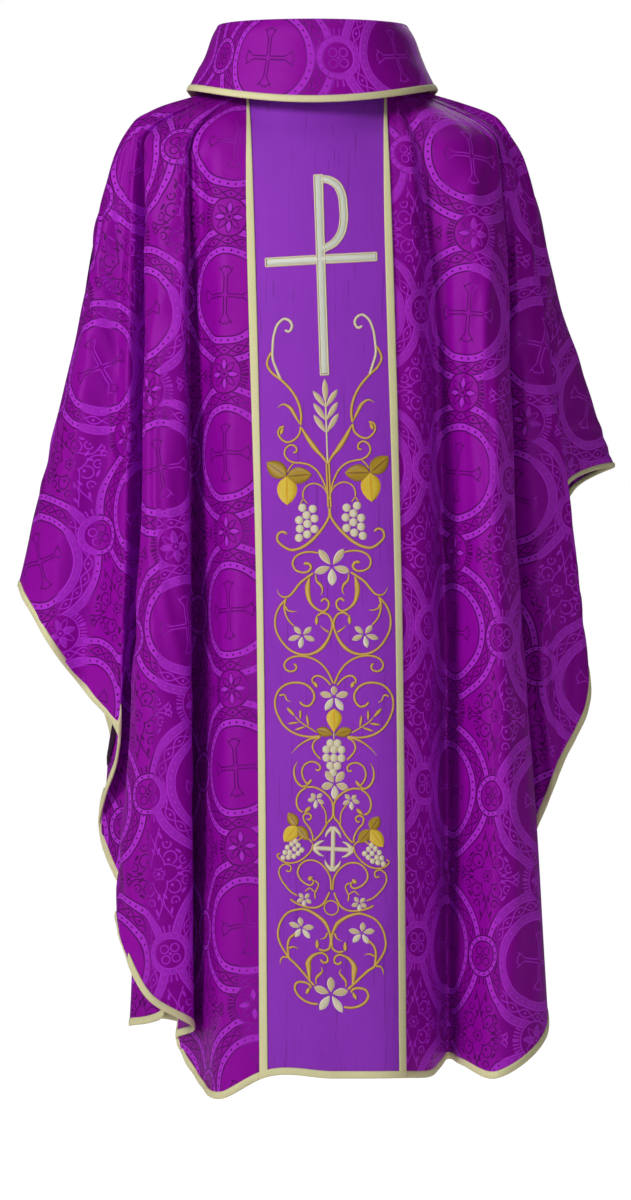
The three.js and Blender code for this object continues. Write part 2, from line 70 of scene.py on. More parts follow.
# ---------------------------------------------------------------------------------------------------------------
# Sizes and colours that a user would change


class ChasubleSizes(bpy.types.PropertyGroup):
    galloon_width: bpy.props.FloatProperty(
        name="Galloon width", description="Braid down each side of an orphrey", default=0.0098, unit="LENGTH"
    )
    braid_width: bpy.props.FloatProperty(
        name="Hem braid width", description="Braid bound round every hem", default=0.0088, unit="LENGTH"
    )
    lining_short: bpy.props.FloatProperty(
        name="Lining short of hem", description="How far the lining stops above the braid", default=0.014, unit="LENGTH"
    )
    repeat_across: bpy.props.FloatProperty(
        name="Damask repeat across", description="One roundel to the next along the weft", default=0.172, unit="LENGTH"
    )
    repeat_down: bpy.props.FloatProperty(
        name="Damask repeat down", description="One roundel to the next along the warp", default=0.191, unit="LENGTH"
    )
    ripple: bpy.props.FloatProperty(
        name="Ripple", description="Height of the small ripples in the cloth", default=0.0010, unit="LENGTH"
    )
    camera_distance: bpy.props.FloatProperty(
        name="Camera distance", description="From the wearer's back", default=9.0, unit="LENGTH"
    )


def colour(name, description, value):
    return bpy.props.FloatVectorProperty(
        name=name, description=description, default=value, subtype="COLOR", min=0, max=1
    )


class ChasubleColours(bpy.types.PropertyGroup):
    ground: colour("Damask ground", "Shiny satin ground of the damask", (0.32, 0.002, 0.385))
    figure: colour("Damask figure", "Matt woven figure of the damask", (0.53, 0.032, 0.74))
    satin: colour("Orphrey satin", "Lilac satin of the orphreys", (0.34, 0.043, 0.64))
    lining: colour("Lining", "Dark lining", (0.045, 0.004, 0.045))
    braid: colour("Braid", "Pale gold braid", (0.98, 0.90, 0.50))
    gold: colour("Gold thread", "Gold stitching", (0.86, 0.47, 0.004))
    cream: colour("Cream thread", "Cream stitching", (0.92, 0.80, 0.56))
    silver: colour("Silver filling", "Silver-white filling of the cross", (0.74, 0.78, 0.70))
    stage: colour("Floor", "Pale floor", (0.96, 0.96, 0.96))


# ---------------------------------------------------------------------------------------------------------------
# The drape. A rib runs from the neck seam over the shoulder and down one fold or hollow to the hem. Each row holds
# where it leaves the neck, in degrees from +X, then its places at the shoulder, the waist and the hem.

NECK_HALF_WIDTH, NECK_HALF_DEPTH = 0.100, 0.092
NECK_SIDE_RISE, NECK_FRONT_DROP = 0.022, 0.030
ORPHREY_HALF = 0.083
BACK_LEFT = [
    [180, (-0.222, 0.002, -0.024), (-0.297, 0.010, -0.300), (-0.367, 0.025, -0.595)],
    [183, (-0.224, -0.016, -0.036), (-0.284, -0.038, -0.335), (-0.328, -0.022, -0.665)],
    [186, (-0.222, -0.027, -0.046), (-0.247, -0.034, -0.370), (-0.282, -0.002, -0.726)],
    [189, (-0.221, -0.036, -0.052), (-0.231, -0.054, -0.410), (-0.242, -0.036, -0.777)],
    [191, (-0.211, -0.030, -0.055), (-0.204, -0.004, -0.440), (-0.266, 0.018, -0.903)],
    [192, (-0.205, -0.038, -0.058), (-0.186, -0.028, -0.480), (-0.220, -0.030, -1.004)],
    [193, (-0.208, -0.056, -0.060), (-0.212, -0.096, -0.510), (-0.243, -0.104, -1.000)],
    [197, (-0.190, -0.078, -0.062), (-0.188, -0.132, -0.545), (-0.203, -0.143, -1.094)],
    [201, (-0.163, -0.092, -0.066), (-0.156, -0.118, -0.565), (-0.150, -0.122, -1.128)],
    [204, (-0.156, -0.082, -0.070), (-0.153, -0.056, -0.580), (-0.170, -0.052, -1.150)],
    [207, (-0.140, -0.097, -0.074), (-0.132, -0.096, -0.590), (-0.144, -0.096, -1.193)],
    [211, (-0.114, -0.112, -0.078), (-0.104, -0.150, -0.595), (-0.112, -0.168, -1.211)],
]
BACK_CENTRE = [270, (0.002, -0.126, -0.085), (0.015, -0.166, -0.600), (0.020, -0.184, -1.186)]
BACK_RIGHT = [
    [329, (0.112, -0.114, -0.078), (0.131, -0.138, -0.595), (0.136, -0.142, -1.187)],
    [334, (0.128, -0.096, -0.074), (0.157, -0.074, -0.592), (0.162, -0.082, -1.169)],
    [338, (0.147, -0.100, -0.070), (0.173, -0.104, -0.588), (0.175, -0.118, -1.174)],
    [343, (0.182, -0.092, -0.064), (0.212, -0.142, -0.570), (0.217, -0.167, -1.187)],
    [348, (0.216, -0.058, -0.058), (0.241, -0.106, -0.540), (0.278, -0.120, -1.142)],
    [350, (0.209, -0.032, -0.054), (0.223, -0.032, -0.490), (0.236, -0.022, -1.004)],
    [352, (0.221, -0.034, -0.050), (0.262, -0.054, -0.440), (0.296, -0.048, -0.825)],
    [354, (0.226, -0.026, -0.046), (0.296, -0.034, -0.390), (0.335, -0.027, -0.722)],
    [356, (0.224, -0.012, -0.042), (0.262, 0.002, -0.350), (0.278, 0.008, -0.608)],
    [358, (0.231, -0.003, -0.033), (0.291, 0.022, -0.285), (0.312, 0.042, -0.468)],
]
FRONT_RIGHT = [
    [360, (0.224, 0.004, -0.024), (0.306, 0.062, -0.262), (0.371, 0.112, -0.446)],
    [364, (0.228, 0.036, -0.040), (0.300, 0.122, -0.300), (0.322, 0.168, -0.474)],
    [369, (0.214, 0.066, -0.060), (0.264, 0.168, -0.400), (0.296, 0.200, -0.690)],
    [376, (0.188, 0.090, -0.080), (0.224, 0.138, -0.480), (0.246, 0.148, -0.860)],
    [382, (0.158, 0.108, -0.092), (0.188, 0.186, -0.540), (0.212, 0.208, -1.010)],
    [388, (0.126, 0.116, -0.098), (0.136, 0.152, -0.580), (0.150, 0.166, -1.110)],
]
FRONT_CENTRE = [450, (0.0, 0.136, -0.112), (0.002, 0.192, -0.600), (0.0, 0.212, -1.150)]
FRONT_LEFT = [
    [511, (-0.126, 0.116, -0.098), (-0.134, 0.150, -0.580), (-0.148, 0.168, -1.142)],
    [516, (-0.156, 0.108, -0.092), (-0.182, 0.186, -0.560), (-0.196, 0.206, -1.136)],
    [520, (-0.180, 0.096, -0.084), (-0.206, 0.140, -0.520), (-0.231, 0.116, -1.140)],
    [524, (-0.192, 0.082, -0.078), (-0.188, 0.088, -0.490), (-0.188, 0.076, -1.122)],
    [528, (-0.204, 0.072, -0.072), (-0.212, 0.066, -0.460), (-0.226, 0.072, -1.000)],
    [532, (-0.214, 0.060, -0.064), (-0.230, 0.092, -0.430), (-0.244, 0.104, -0.900)],
    [535, (-0.220, 0.044, -0.054), (-0.258, 0.104, -0.370), (-0.266, 0.128, -0.746)],
    [538, (-0.223, 0.024, -0.038), (-0.288, 0.070, -0.330), (-0.324, 0.098, -0.646)],
]
HEIGHTS = np.array([0, 0.12, 0.53, 1.0])
LEAST_SLANT = 0.16


def orphrey_edge(centre, side):
    """The rib under one edge of an orphrey, half its width from the rib under its middle."""
    turn = math.degrees(math.asin(ORPHREY_HALF / NECK_HALF_WIDTH))
    facing = math.copysign(1, centre[1][1])
    places = [(x + side * ORPHREY_HALF, y - facing * 0.008, z) for x, y, z in centre[1:]]
    return [centre[0] - facing * side * turn, *places]


RIBS = (
    BACK_LEFT
    + [orphrey_edge(BACK_CENTRE, -1), BACK_CENTRE, orphrey_edge(BACK_CENTRE, 1)]
    + BACK_RIGHT
    + FRONT_RIGHT
    + [orphrey_edge(FRONT_CENTRE, 1), FRONT_CENTRE, orphrey_edge(FRONT_CENTRE, -1)]
    + FRONT_LEFT
)


def neck_point(degrees):
    """Where the neck seam lies in a direction, in degrees from +X towards +Y: higher at the sides than in front."""
    c, s = np.cos(np.radians(degrees)), np.sin(np.radians(degrees))
    height = NECK_SIDE_RISE * c * c - NECK_FRONT_DROP * np.maximum(s, 0) ** 2
    return np.stack([NECK_HALF_WIDTH * c, NECK_HALF_DEPTH * s, height], axis=-1)


def unit(vectors):
    """The vectors, each at length 1."""
    return vectors / np.linalg.norm(vectors, axis=-1, keepdims=True)


def gone_along(line):
    """Distance gone along a line at each of its points."""
    return np.concatenate([[0], np.cumsum(np.linalg.norm(np.diff(line, axis=0), axis=1))])


def flat_ring(points, power):
    """Places x and y round a flattened ring, |x|^power + |y|^power = 1."""
    angle = np.linspace(0, TURN, points, endpoint=False)
    c, s = np.cos(angle), np.sin(angle)
    return np.sign(c) * np.abs(c) ** (2 / power), np.sign(s) * np.abs(s) ** (2 / power)


def slopes_of(knots, values):
    """Slope at each knot of the parabola through it and its neighbours; at the two ends, of the end step."""
    step = np.diff(knots).reshape(-1, *[1] * (values.ndim - 1))
    rise = np.diff(values, axis=0) / step
    inner = (rise[:-1] * step[1:] + rise[1:] * step[:-1]) / (step[:-1] + step[1:])
    return np.concatenate([rise[:1], inner, rise[-1:]])


def calm_slope(before, after, left, right):
    """Mean slope of two steps that leaves no overshoot: none at a peak, near the gentler step's elsewhere."""
    one, two = 2 * right + left, right + 2 * left
    same = before * after > 0
    share = one / np.where(same, before, 1) + two / np.where(same, after, 1)
    return np.where(same, (one + two) / share, 0)


def smooth_through(knots, values, t):
    """Cubic through values at knots, with the parabola slopes, at every t."""
    slope = slopes_of(knots, values)
    i = np.clip(np.searchsorted(knots, t, side="right") - 1, 0, len(knots) - 2)
    h = knots[i + 1] - knots[i]
    s = (t - knots[i]) / h
    more = (...,) + (None,) * (values.ndim - 1)
    s, h = s[more], h[more]
    ends = values[i] * (1 + 2 * s) * (1 - s) ** 2 + values[i + 1] * s * s * (3 - 2 * s)
    return ends + h * (slope[i] * s * (1 - s) ** 2 - slope[i + 1] * s * s * (1 - s))


class Drape:
    """The worn cloth as a function of u, the distance round it, and v, from 0 at the neck to 1 at the hem."""

    def __init__(self, ribs, ripple):
        places = np.array([rib[1:] for rib in ribs], float)
        neck = np.array([rib[0] for rib in ribs], float)
        ahead = np.roll(places, -1, axis=0)
        gaps = np.linalg.norm(ahead - places, axis=2)[:, 1:].mean(axis=1)
        self.along = np.concatenate([[0], np.cumsum(gaps)])
        self.length = self.along[-1]
        lap = [-1, 0, 1]
        self.knots = np.concatenate([self.along[:-1] + k * self.length for k in lap])
        self.places = np.concatenate([places] * 3)
        self.neck = np.concatenate([neck + 360 * k for k in lap])
        self.ripple_height = ripple
        back = len(BACK_LEFT) + 1
        self.back = self.along[back]
        self.right = self.along[back + 2 + len(BACK_RIGHT)]
        self.front = self.along[len(ribs) - len(FRONT_LEFT) - 2]

    def levels(self, u):
        """The rib at each u: its points at the neck, shoulder, waist and hem."""
        u = np.mod(u, self.length)
        neck = neck_point(smooth_through(self.knots, self.neck, u))
        return np.concatenate([neck[..., None, :], smooth_through(self.knots, self.places, u)], axis=-2)

    def bare(self, u, v):
        """Points of the cloth without its ripples. The rib at u is followed to v by the same cubic."""
        u, v = np.broadcast_arrays(np.asarray(u, float), np.asarray(v, float))
        if u.ndim == 2 and np.all(u == u[:, :1]):
            rib = np.broadcast_to(self.levels(u[:, 0])[:, None], (*u.shape, 4, 3))
        else:
            rib = self.levels(u.ravel()).reshape(*u.shape, 4, 3)
        step = np.diff(HEIGHTS)
        rise = np.diff(rib, axis=-2) / step[:, None]
        over = calm_slope(rise[..., 0, :], rise[..., 1, :], step[0], step[1])[..., None, :]
        waist = (rise[..., 1:2, :] * step[2] + rise[..., 2:, :] * step[1]) / (step[1] + step[2])
        slope = np.concatenate([rise[..., :1, :], over, waist, rise[..., -1:, :]], axis=-2)
        i = np.clip(np.searchsorted(HEIGHTS, v, side="right") - 1, 0, 2)
        h = (HEIGHTS[i + 1] - HEIGHTS[i])[..., None]
        s = (v - HEIGHTS[i])[..., None] / h
        pick = lambda table, k: np.take_along_axis(table, k[..., None, None], axis=-2)[..., 0, :]
        ends = pick(rib, i) * (1 + 2 * s) * (1 - s) ** 2 + pick(rib, i + 1) * s * s * (3 - 2 * s)
        return ends + h * (pick(slope, i) * s * (1 - s) ** 2 - pick(slope, i + 1) * s * s * (1 - s))

    def ripple(self, u, v):
        """Height of the small ripples: long waves down the cloth that wander as they fall, a slower swell, and a
        few creases that run slantwise near the shoulders. They fade out at the neck and on the orphreys."""
        w = u * TURN
        sway = 0.018 * np.sin(5.1 * v + 9 * u) + 0.01 * np.sin(11.3 * v - 17 * u)
        waves = np.sin((w + sway * 40) / 0.071) * (0.55 + 0.45 * np.sin(3.1 * v + w / 0.53))
        waves = waves + 0.7 * np.sin((w - sway * 55) / 0.113 + 1.7) * np.sin(2.2 * v + w / 0.91 + 0.6)
        swell = 1.2 * np.sin(w / 0.31 + 4.0 * v) * np.sin(7.5 * v + w / 0.47)
        slant = np.exp(-(((v - 0.3) / 0.2) ** 2)) * np.sin(w / 0.094 + 41 * v + 2.5 * np.sin(w / 0.4))
        half = self.length / 2
        beside = [np.abs((u - middle + half) % self.length - half) for middle in (self.back, self.front)]
        off_orphrey = np.clip((np.minimum(*beside) - 0.086) / 0.05, 0.12, 1)
        fade = np.clip(v / 0.12, 0, 1) ** 2
        return self.ripple_height * fade * off_orphrey * (waves + swell + 0.8 * slant)

    def surface(self, u, v, above=0.0):
        """Points a given height above the damask, with the directions across, down and out of the cloth."""
        u, v = np.broadcast_arrays(np.asarray(u, float), np.asarray(v, float))
        point = self.bare(u, v)
        across = self.bare(u + 0.0005, v) - self.bare(u - 0.0005, v)
        down = self.bare(u, np.minimum(v + 0.002, 1)) - self.bare(u, np.maximum(v - 0.002, 0))
        out = np.cross(down, across)
        across, down, out = unit(across), unit(down), unit(out)
        height = np.asarray(self.ripple(u, v) + above)[..., None]
        return point + out * height, across, down, out

    def rib_length(self, u):
        """Length of each rib from neck to hem."""
        v = np.linspace(0, 1, 25)
        points = self.bare(u[:, None], v[None])
        return np.linalg.norm(np.diff(points, axis=1), axis=2).sum(axis=1)

    def row_above(self, u, distance):
        """The v a given distance in from the hem. Where the hem climbs aslant, it is further along the rib."""
        hem = self.bare(u + 0.002, 1) - self.bare(u - 0.002, 1)
        down = self.bare(u, 1.0) - self.bare(u, 0.99)
        slant = np.maximum(np.linalg.norm(np.cross(unit(hem), unit(down)), axis=-1), LEAST_SLANT)
        return 1 - distance / slant / self.rib_length(u)


# ---------------------------------------------------------------------------------------------------------------
# Meshes


def mesh_object(name, vertices, faces, uv=None):
    """A named object from vertex and face arrays. uv gives a place on the cloth to each vertex, in metres."""
    mesh = bpy.data.meshes.new(name)
    faces = faces.tolist() if isinstance(faces, np.ndarray) else faces
    mesh.from_pydata(np.asarray(vertices).reshape(-1, 3).tolist(), [], faces)
    if uv is not None:
        layer = mesh.uv_layers.new(name="Cloth")
        corner = np.empty(len(mesh.loops), np.int32)
        mesh.loops.foreach_get("vertex_index", corner)
        layer.data.foreach_set("uv", np.asarray(uv, np.float32).reshape(-1, 2)[corner].ravel())
    mesh.polygons.foreach_set("use_smooth", [True] * len(mesh.polygons))
    mesh.update()
    obj = bpy.data.objects.new(name, mesh)
    bpy.context.collection.objects.link(obj)
    return obj


def grid_faces(rows, columns, closed_rows=False, closed_columns=False):
    """Quads of a grid whose vertices are numbered row by row. They face along rows x columns."""
    i = np.arange(rows if closed_rows else rows - 1)
    j = np.arange(columns if closed_columns else columns - 1)
    i, j = (a.ravel() for a in np.meshgrid(i, j, indexing="ij"))
    i2, j2 = (i + 1) % rows, (j + 1) % columns
    return np.stack([i * columns + j, i2 * columns + j, i2 * columns + j2, i * columns + j2], axis=1)


def evened(points, step):
    """The same line with its points evenly spaced, about one step apart."""
    gone = gone_along(points)
    at = np.linspace(0, gone[-1], max(3, int(gone[-1] / step) + 1))
    return np.stack([np.interp(at, gone, points[:, k]) for k in range(points.shape[1])], axis=1)


def face_out(obj):
    """Turns every face of a closed solid outwards."""
    work = bmesh.new()
    work.from_mesh(obj.data)
    bmesh.ops.recalc_face_normals(work, faces=work.faces)
    work.to_mesh(obj.data)
    work.free()
    return obj


def flat_cut(drape, start, end, seam):
    """The cloth's flat cut between two ribs, found by least squares: a coarse net is laid out flat as a fan and
    moved, by majorised least squares, until its sides and diagonals are as long as on the worn cloth. Returns
    the net's u and v and its flat places, with the seam upright at 0 and the neck at the top."""
    columns, rows, fine = 25, 21, 8
    fan_spread, fan_radius = 0.78, 0.10
    rounds, settling, overstep = 900, 40, 1.9
    u = np.linspace(start, end, (columns - 1) * fine + 1)
    v = np.linspace(0, 1, (rows - 1) * fine + 1)
    worn = drape.bare(u[:, None], v[None])
    step_u = np.linalg.norm(np.diff(worn, axis=0), axis=2).reshape(columns - 1, fine, -1).sum(axis=1)[:, ::fine]
    step_v = np.linalg.norm(np.diff(worn, axis=1), axis=2).reshape(len(u), rows - 1, fine).sum(axis=2)[::fine]
    cell = worn[fine // 2 :: fine, fine // 2 :: fine][: columns - 1, : rows - 1]
    along_u = worn[fine // 2 + 1 :: fine, fine // 2 :: fine][: columns - 1, : rows - 1] - cell
    along_v = worn[fine // 2 :: fine, fine // 2 + 1 :: fine][: columns - 1, : rows - 1] - cell
    cosine = (along_u * along_v).sum(2) / (np.linalg.norm(along_u, axis=2) * np.linalg.norm(along_v, axis=2))
    wide = (step_u[:, :-1] + step_u[:, 1:]) / 2
    tall = (step_v[:-1] + step_v[1:]) / 2
    falling = np.sqrt(wide**2 + tall**2 + 2 * wide * tall * cosine)
    rising = np.sqrt(wide**2 + tall**2 - 2 * wide * tall * cosine)
    index = np.arange(columns * rows).reshape(columns, rows)
    sides = [
        (index[:-1], index[1:], step_u),
        (index[:, :-1], index[:, 1:], step_v),
        (index[:-1, :-1], index[1:, 1:], falling),
        (index[1:, :-1], index[:-1, 1:], rising),
    ]
    one = np.concatenate([s[0].ravel() for s in sides])
    two = np.concatenate([s[1].ravel() for s in sides])
    length = np.concatenate([s[2].ravel() for s in sides])
    turn = (u[::fine] - seam) / fan_spread
    radius = fan_radius + np.concatenate([np.zeros((columns, 1)), np.cumsum(step_v, axis=1)], axis=1)
    flat = np.stack([radius * np.sin(turn)[:, None], radius * np.cos(turn)[:, None]], axis=-1).reshape(-1, 2)
    count = len(flat)
    ties = np.zeros((count, count))
    np.add.at(ties, (one, two), -1)
    ties += ties.T
    ties -= np.diag(ties.sum(axis=1))
    spread = np.linalg.inv(ties + 1 / count)
    for step in range(rounds):
        apart = flat[one] - flat[two]
        pull = apart * (length / np.maximum(np.linalg.norm(apart, axis=1), 1e-9))[:, None]
        ends = [np.bincount(one, pull[:, k], count) - np.bincount(two, pull[:, k], count) for k in (0, 1)]
        better = spread @ np.stack(ends, axis=1)
        flat = flat + (better - flat) * (overstep if step < rounds - settling else 1.0)
    flat = flat.reshape(columns, rows, 2)
    edge = flat[0] if abs(start - seam) < abs(end - seam) else flat[-1]
    lean = edge[-1] - edge[0]
    lean = lean / np.linalg.norm(lean)
    flat = flat - edge[0]
    upright = np.stack([flat @ np.array([lean[1], -lean[0]]), flat @ lean], axis=-1)
    return u[::fine], v[::fine], upright


def on_net(net_u, net_v, table, u, v):
    """Values between the points of an even net, by the two nearest rows and columns."""
    x = np.clip((u - net_u[0]) / (net_u[1] - net_u[0]), 0, len(net_u) - 1.001)
    y = np.clip(v / (net_v[1] - net_v[0]), 0, len(net_v) - 1.001)
    i, j = x.astype(int), y.astype(int)
    x, y = (x - i)[..., None], (y - j)[..., None]
    upper = table[i, j] * (1 - x) + table[i + 1, j] * x
    lower = table[i, j + 1] * (1 - x) + table[i + 1, j + 1] * x
    return upper * (1 - y) + lower * y


# ---------------------------------------------------------------------------------------------------------------
# Shader helpers. A Value stands for one output of a node; arithmetic on Values adds Math nodes.


class Value:
    """One output of a node, or a constant fed through it."""

    def __init__(self, tree, socket):
        self.tree, self.socket = tree, socket

    def _math(self, operation, *others):
        node = self.tree.nodes.new("ShaderNodeMath")
        node.operation = operation
        for socket, value in zip(node.inputs, (self, *others)):
            join(self.tree, socket, value)
        return Value(self.tree, node.outputs[0])

    def __add__(self, other):
        return self._math("ADD", other)

    def __sub__(self, other):
        return self._math("SUBTRACT", other)

    def __mul__(self, other):
        return self._math("MULTIPLY", other)

    def __truediv__(self, other):
        return self._math("DIVIDE", other)

    def __abs__(self):
        return self._math("ABSOLUTE")

    def sine(self):
        return self._math("SINE")

    def fraction(self):
        return self._math("FRACT")

    def less(self, other):
        return self._math("MINIMUM", other)

    def more(self, other):
        return self._math("MAXIMUM", other)

    def power(self, other):
        return self._math("POWER", other)

    def angle_with(self, other):
        return self._math("ARCTAN2", other)

    def ramp(self, low, high, to_low=0.0, to_high=1.0):
        """Smoothly from one value to the other as this one goes from low to high."""
        node = self.tree.nodes.new("ShaderNodeMapRange")
        node.interpolation_type = "SMOOTHSTEP"
        names = ("Value", "From Min", "From Max", "To Min", "To Max")
        for name, value in zip(names, (self, low, high, to_low, to_high)):
            join(self.tree, node.inputs[name], value)
        return Value(self.tree, node.outputs["Result"])

    def band(self, low, high, soft):
        """1 between low and high, and 0 outside, with soft edges."""
        return self.ramp(low - soft, low + soft) * self.ramp(high - soft, high + soft, 1.0, 0.0)


def join(tree, socket, value):
    """Feeds a socket from a Value, from another node's socket or with a constant."""
    if isinstance(value, Value):
        tree.links.new(value.socket, socket)
    elif hasattr(value, "links"):
        tree.links.new(value, socket)
    else:
        socket.default_value = value


def hypot(x, y):
    return (x * x + y * y).power(0.5)


def group(name, inputs, outputs, build):
    """A node group. build(tree, values of the inputs) returns a value for each output."""
    tree = bpy.data.node_groups.new(name, "ShaderNodeTree")
    for label, kind, default in inputs:
        socket = tree.interface.new_socket(label, in_out="INPUT", socket_type=kind)
        if default is not None:
            socket.default_value = default
    for label, kind in outputs:
        tree.interface.new_socket(label, in_out="OUTPUT", socket_type=kind)
    entry, leave = tree.nodes.new("NodeGroupInput"), tree.nodes.new("NodeGroupOutput")
    given = [Value(tree, socket) for socket in entry.outputs[: len(inputs)]]
    for socket, value in zip(leave.inputs, build(tree, given)):
        join(tree, socket, value)
    return tree


class Shader:
    """A material with one Principled node, and short ways to feed it."""

    def __init__(self, name):
        self.material = bpy.data.materials.new("worn_" + name)
        self.material.use_nodes = True
        self.tree = self.material.node_tree
        self.principled = next(n for n in self.tree.nodes if n.type == "BSDF_PRINCIPLED")

    def node(self, kind, **settings):
        node = self.tree.nodes.new(kind)
        for key, value in settings.items():
            setattr(node, key, value)
        return node

    def cloth_place(self):
        """Across and down the cloth, in metres."""
        split = self.node("ShaderNodeSeparateXYZ")
        self.tree.links.new(self.node("ShaderNodeUVMap", uv_map="Cloth").outputs[0], split.inputs[0])
        return Value(self.tree, split.outputs[0]), Value(self.tree, split.outputs[1])

    def noise(self, scale, place=None, detail=2.0, stretch=None):
        noise = self.node("ShaderNodeTexNoise")
        noise.inputs["Scale"].default_value = scale
        noise.inputs["Detail"].default_value = detail
        if place is None:
            place = self.node("ShaderNodeTexCoord").outputs["Object"]
        if stretch is not None:
            mapping = self.node("ShaderNodeMapping")
            mapping.inputs["Scale"].default_value = stretch
            self.tree.links.new(place, mapping.inputs["Vector"])
            place = mapping.outputs[0]
        self.tree.links.new(place, noise.inputs["Vector"])
        return Value(self.tree, noise.outputs["Fac"])

    def mix(self, share, one, two):
        mix = self.node("ShaderNodeMix", data_type="RGBA")
        join(self.tree, mix.inputs[0], share)
        join(self.tree, mix.inputs[6], one)
        join(self.tree, mix.inputs[7], two)
        return mix.outputs[2]

    def bump(self, height, distance, strength):
        bump = self.node("ShaderNodeBump")
        bump.inputs["Distance"].default_value = distance
        bump.inputs["Strength"].default_value = strength
        join(self.tree, bump.inputs["Height"], height)
        return bump.outputs[0]

    def put(self, **values):
        for name, value in values.items():
            join(self.tree, self.principled.inputs[name.replace("_", " ")], value)
        return self.material


def rgba(colour_value):
    """A colour with its alpha at 1."""
    return (*tuple(colour_value)[:3], 1.0)


def shade(colour_value, factor):
    """A colour made lighter or darker by a factor."""
    return (*[min(1.0, c * factor) for c in tuple(colour_value)[:3]], 1.0)


# ---------------------------------------------------------------------------------------------------------------
# Materials


def damask_figure(across, down):
    """The figured weave as a group of nodes. A roundel holds a cross in a plain disc, between two dotted rings with
    strapwork between them. A quatrefoil joins it to the next roundel across and a rosette to the next one down, each
    with rays, and scrolls fill the corners. Lengths inside the group are millimetres. It gives the broad bands of
    the figure and its fine lines."""
    w, h = across * 1000, down * 1000

    def build(tree, places):
        cx, cy = (((place * 1000 / size + 0.5).fraction() - 0.5) * size for place, size in zip(places, (w, h)))
        ax, ay = abs(cx), abs(cy)

        def line(distance, half=0.8):
            return abs(distance).ramp(half - 0.25, half + 0.35, 1.0, 0.0)

        def dots(distance, angle, ring, count, size):
            arc = ((angle * (count / TURN)).fraction() - 0.5) * (TURN * ring / count)
            return hypot(arc, distance - ring).ramp(size - 0.3, size + 0.4, 1.0, 0.0)

        def rays(distance, angle, low, high, count):
            return (angle * count).sine().ramp(-0.2, 0.5) * distance.band(low, high, 0.6)

        r, around = hypot(cx, cy), cy.angle_with(cx)
        strap = (around * 11).sine() * 4.6
        strapwork = line(r - 67.0 - strap, 0.8).more(line(r - 67.0 + strap, 0.8)).more(dots(r, around, 67.0, 22, 1.5))
        ring_dots = dots(r, around, 54.8, 36, 1.35).more(dots(r, around, 79.0, 52, 1.25))
        long, short = ax.more(ay), ax.less(ay)
        arm = long.ramp(22.0, 33.0) * 5.6 + 2.0
        cross = line(short - arm, 0.6) * long.band(2.5, 33.0, 0.5)
        cross = cross.more(line(long - 33.5 - (short * 0.75).sine() * 1.6, 0.7) * short.ramp(8.6, 9.6, 1.0, 0.0))
        rims = line(r - 50.2).more(line(r - 59.6)).more(line(r - 74.4)).more(line(r - 83.6))
        roundel_bands = r.band(50.6, 59.2, 0.3).more(r.band(74.8, 83.2, 0.3))
        roundel_lines = rims.more(ring_dots).more(strapwork * r.band(60.2, 73.8, 0.3)).more(cross)

        qx = ax * -1 + w / 2
        q, q_turn = hypot(qx, ay), ay.angle_with(qx)
        q_band = q.band(18.4, 24.2, 0.3)
        q_lines = line(q - 18.2).more(line(q - 24.8)).more(dots(q, q_turn, 21.4, 16, 1.2))
        q_lines = q_lines.more(line(hypot(qx - 6.2, ay - 6.2) - 4.8, 0.7)).more(q.ramp(1.4, 2.2, 1.0, 0.0))
        q_rays = rays(q, q_turn, 26.0, 34.0, 44)

        py = ay * -1 + h / 2
        p, p_turn = hypot(ax, py), py.angle_with(ax)
        petal = ((p - 4.0) * (math.pi / 15.5)).sine().more(0) * 3.5
        eighth = abs(((p_turn * (8 / TURN) + 0.5).fraction() - 0.5) * (TURN / 8)) * p
        quarter = abs(((p_turn * (4 / TURN) + 0.5).fraction() - 0.5) * (TURN / 4)) * p
        inside = p.band(4.2, 19.3, 0.3)
        p_lines = (line(eighth - petal, 0.6) * inside).more(p.ramp(1.6, 2.4, 1.0, 0.0)).more(line(p - 23.4))
        p_band = (quarter - petal).ramp(-0.4, 0.2, 1.0, 0.0) * inside
        p_rays = rays(p, p_turn, 25.0, 33.0, 44)

        def curl(x, y, size, turn):
            """A ring left open toward one side, with a bud inside its mouth."""
            dx, dy = qx - x, py - y
            toward = dx * math.cos(turn) + dy * math.sin(turn)
            ring = line(hypot(dx, dy) - size, 0.75) * toward.ramp(size * 0.45, size * 0.65, 1.0, 0.0)
            bud = hypot(dx - math.cos(turn) * size * 0.45, dy - math.sin(turn) * size * 0.45)
            return ring.more(bud.ramp(size * 0.2, size * 0.2 + 0.6, 1.0, 0.0))

        def leaf(x, y, half_length, half_width, turn):
            """A filled oval."""
            dx, dy = qx - x, py - y
            along = (dx * math.cos(turn) + dy * math.sin(turn)) * (half_width / half_length)
            side = dy * math.cos(turn) - dx * math.sin(turn)
            return hypot(along, side).ramp(half_width - 0.3, half_width + 0.3, 1.0, 0.0)

        corner = hypot(qx, py)
        scrolls = line(corner - 6.4 - (py.angle_with(qx) * 8).sine() * 1.5, 0.7).more(corner.ramp(1.8, 2.6, 1.0, 0.0))
        scrolls = scrolls.more(line(py - 6.0 - (qx * 0.15).sine() * 4.5, 0.75) * qx.band(9.0, 46.0, 0.5))
        scrolls = scrolls.more(line(qx - 5.0 - (py * 0.14).sine() * 4.0, 0.75) * py.band(9.0, 54.0, 0.5))
        for mark in ((17.0, 17.5, 7.6, 3.9), (32.0, 12.5, 4.8, 0.4), (15.5, 34.0, 4.8, 1.4), (43.0, 4.0, 3.4, 1.6)):
            scrolls = scrolls.more(curl(*mark))
        upper_leaves = (26.0, 4.0, 4.2, 1.5, 0.5), (4.0, 27.0, 4.2, 1.5, 1.1)
        lower_leaves = (27.5, 23.5, 4.4, 1.6, 2.4), (9.0, 45.0, 4.2, 1.5, 1.9)
        for mark in upper_leaves + lower_leaves:
            scrolls = scrolls.more(leaf(*mark))

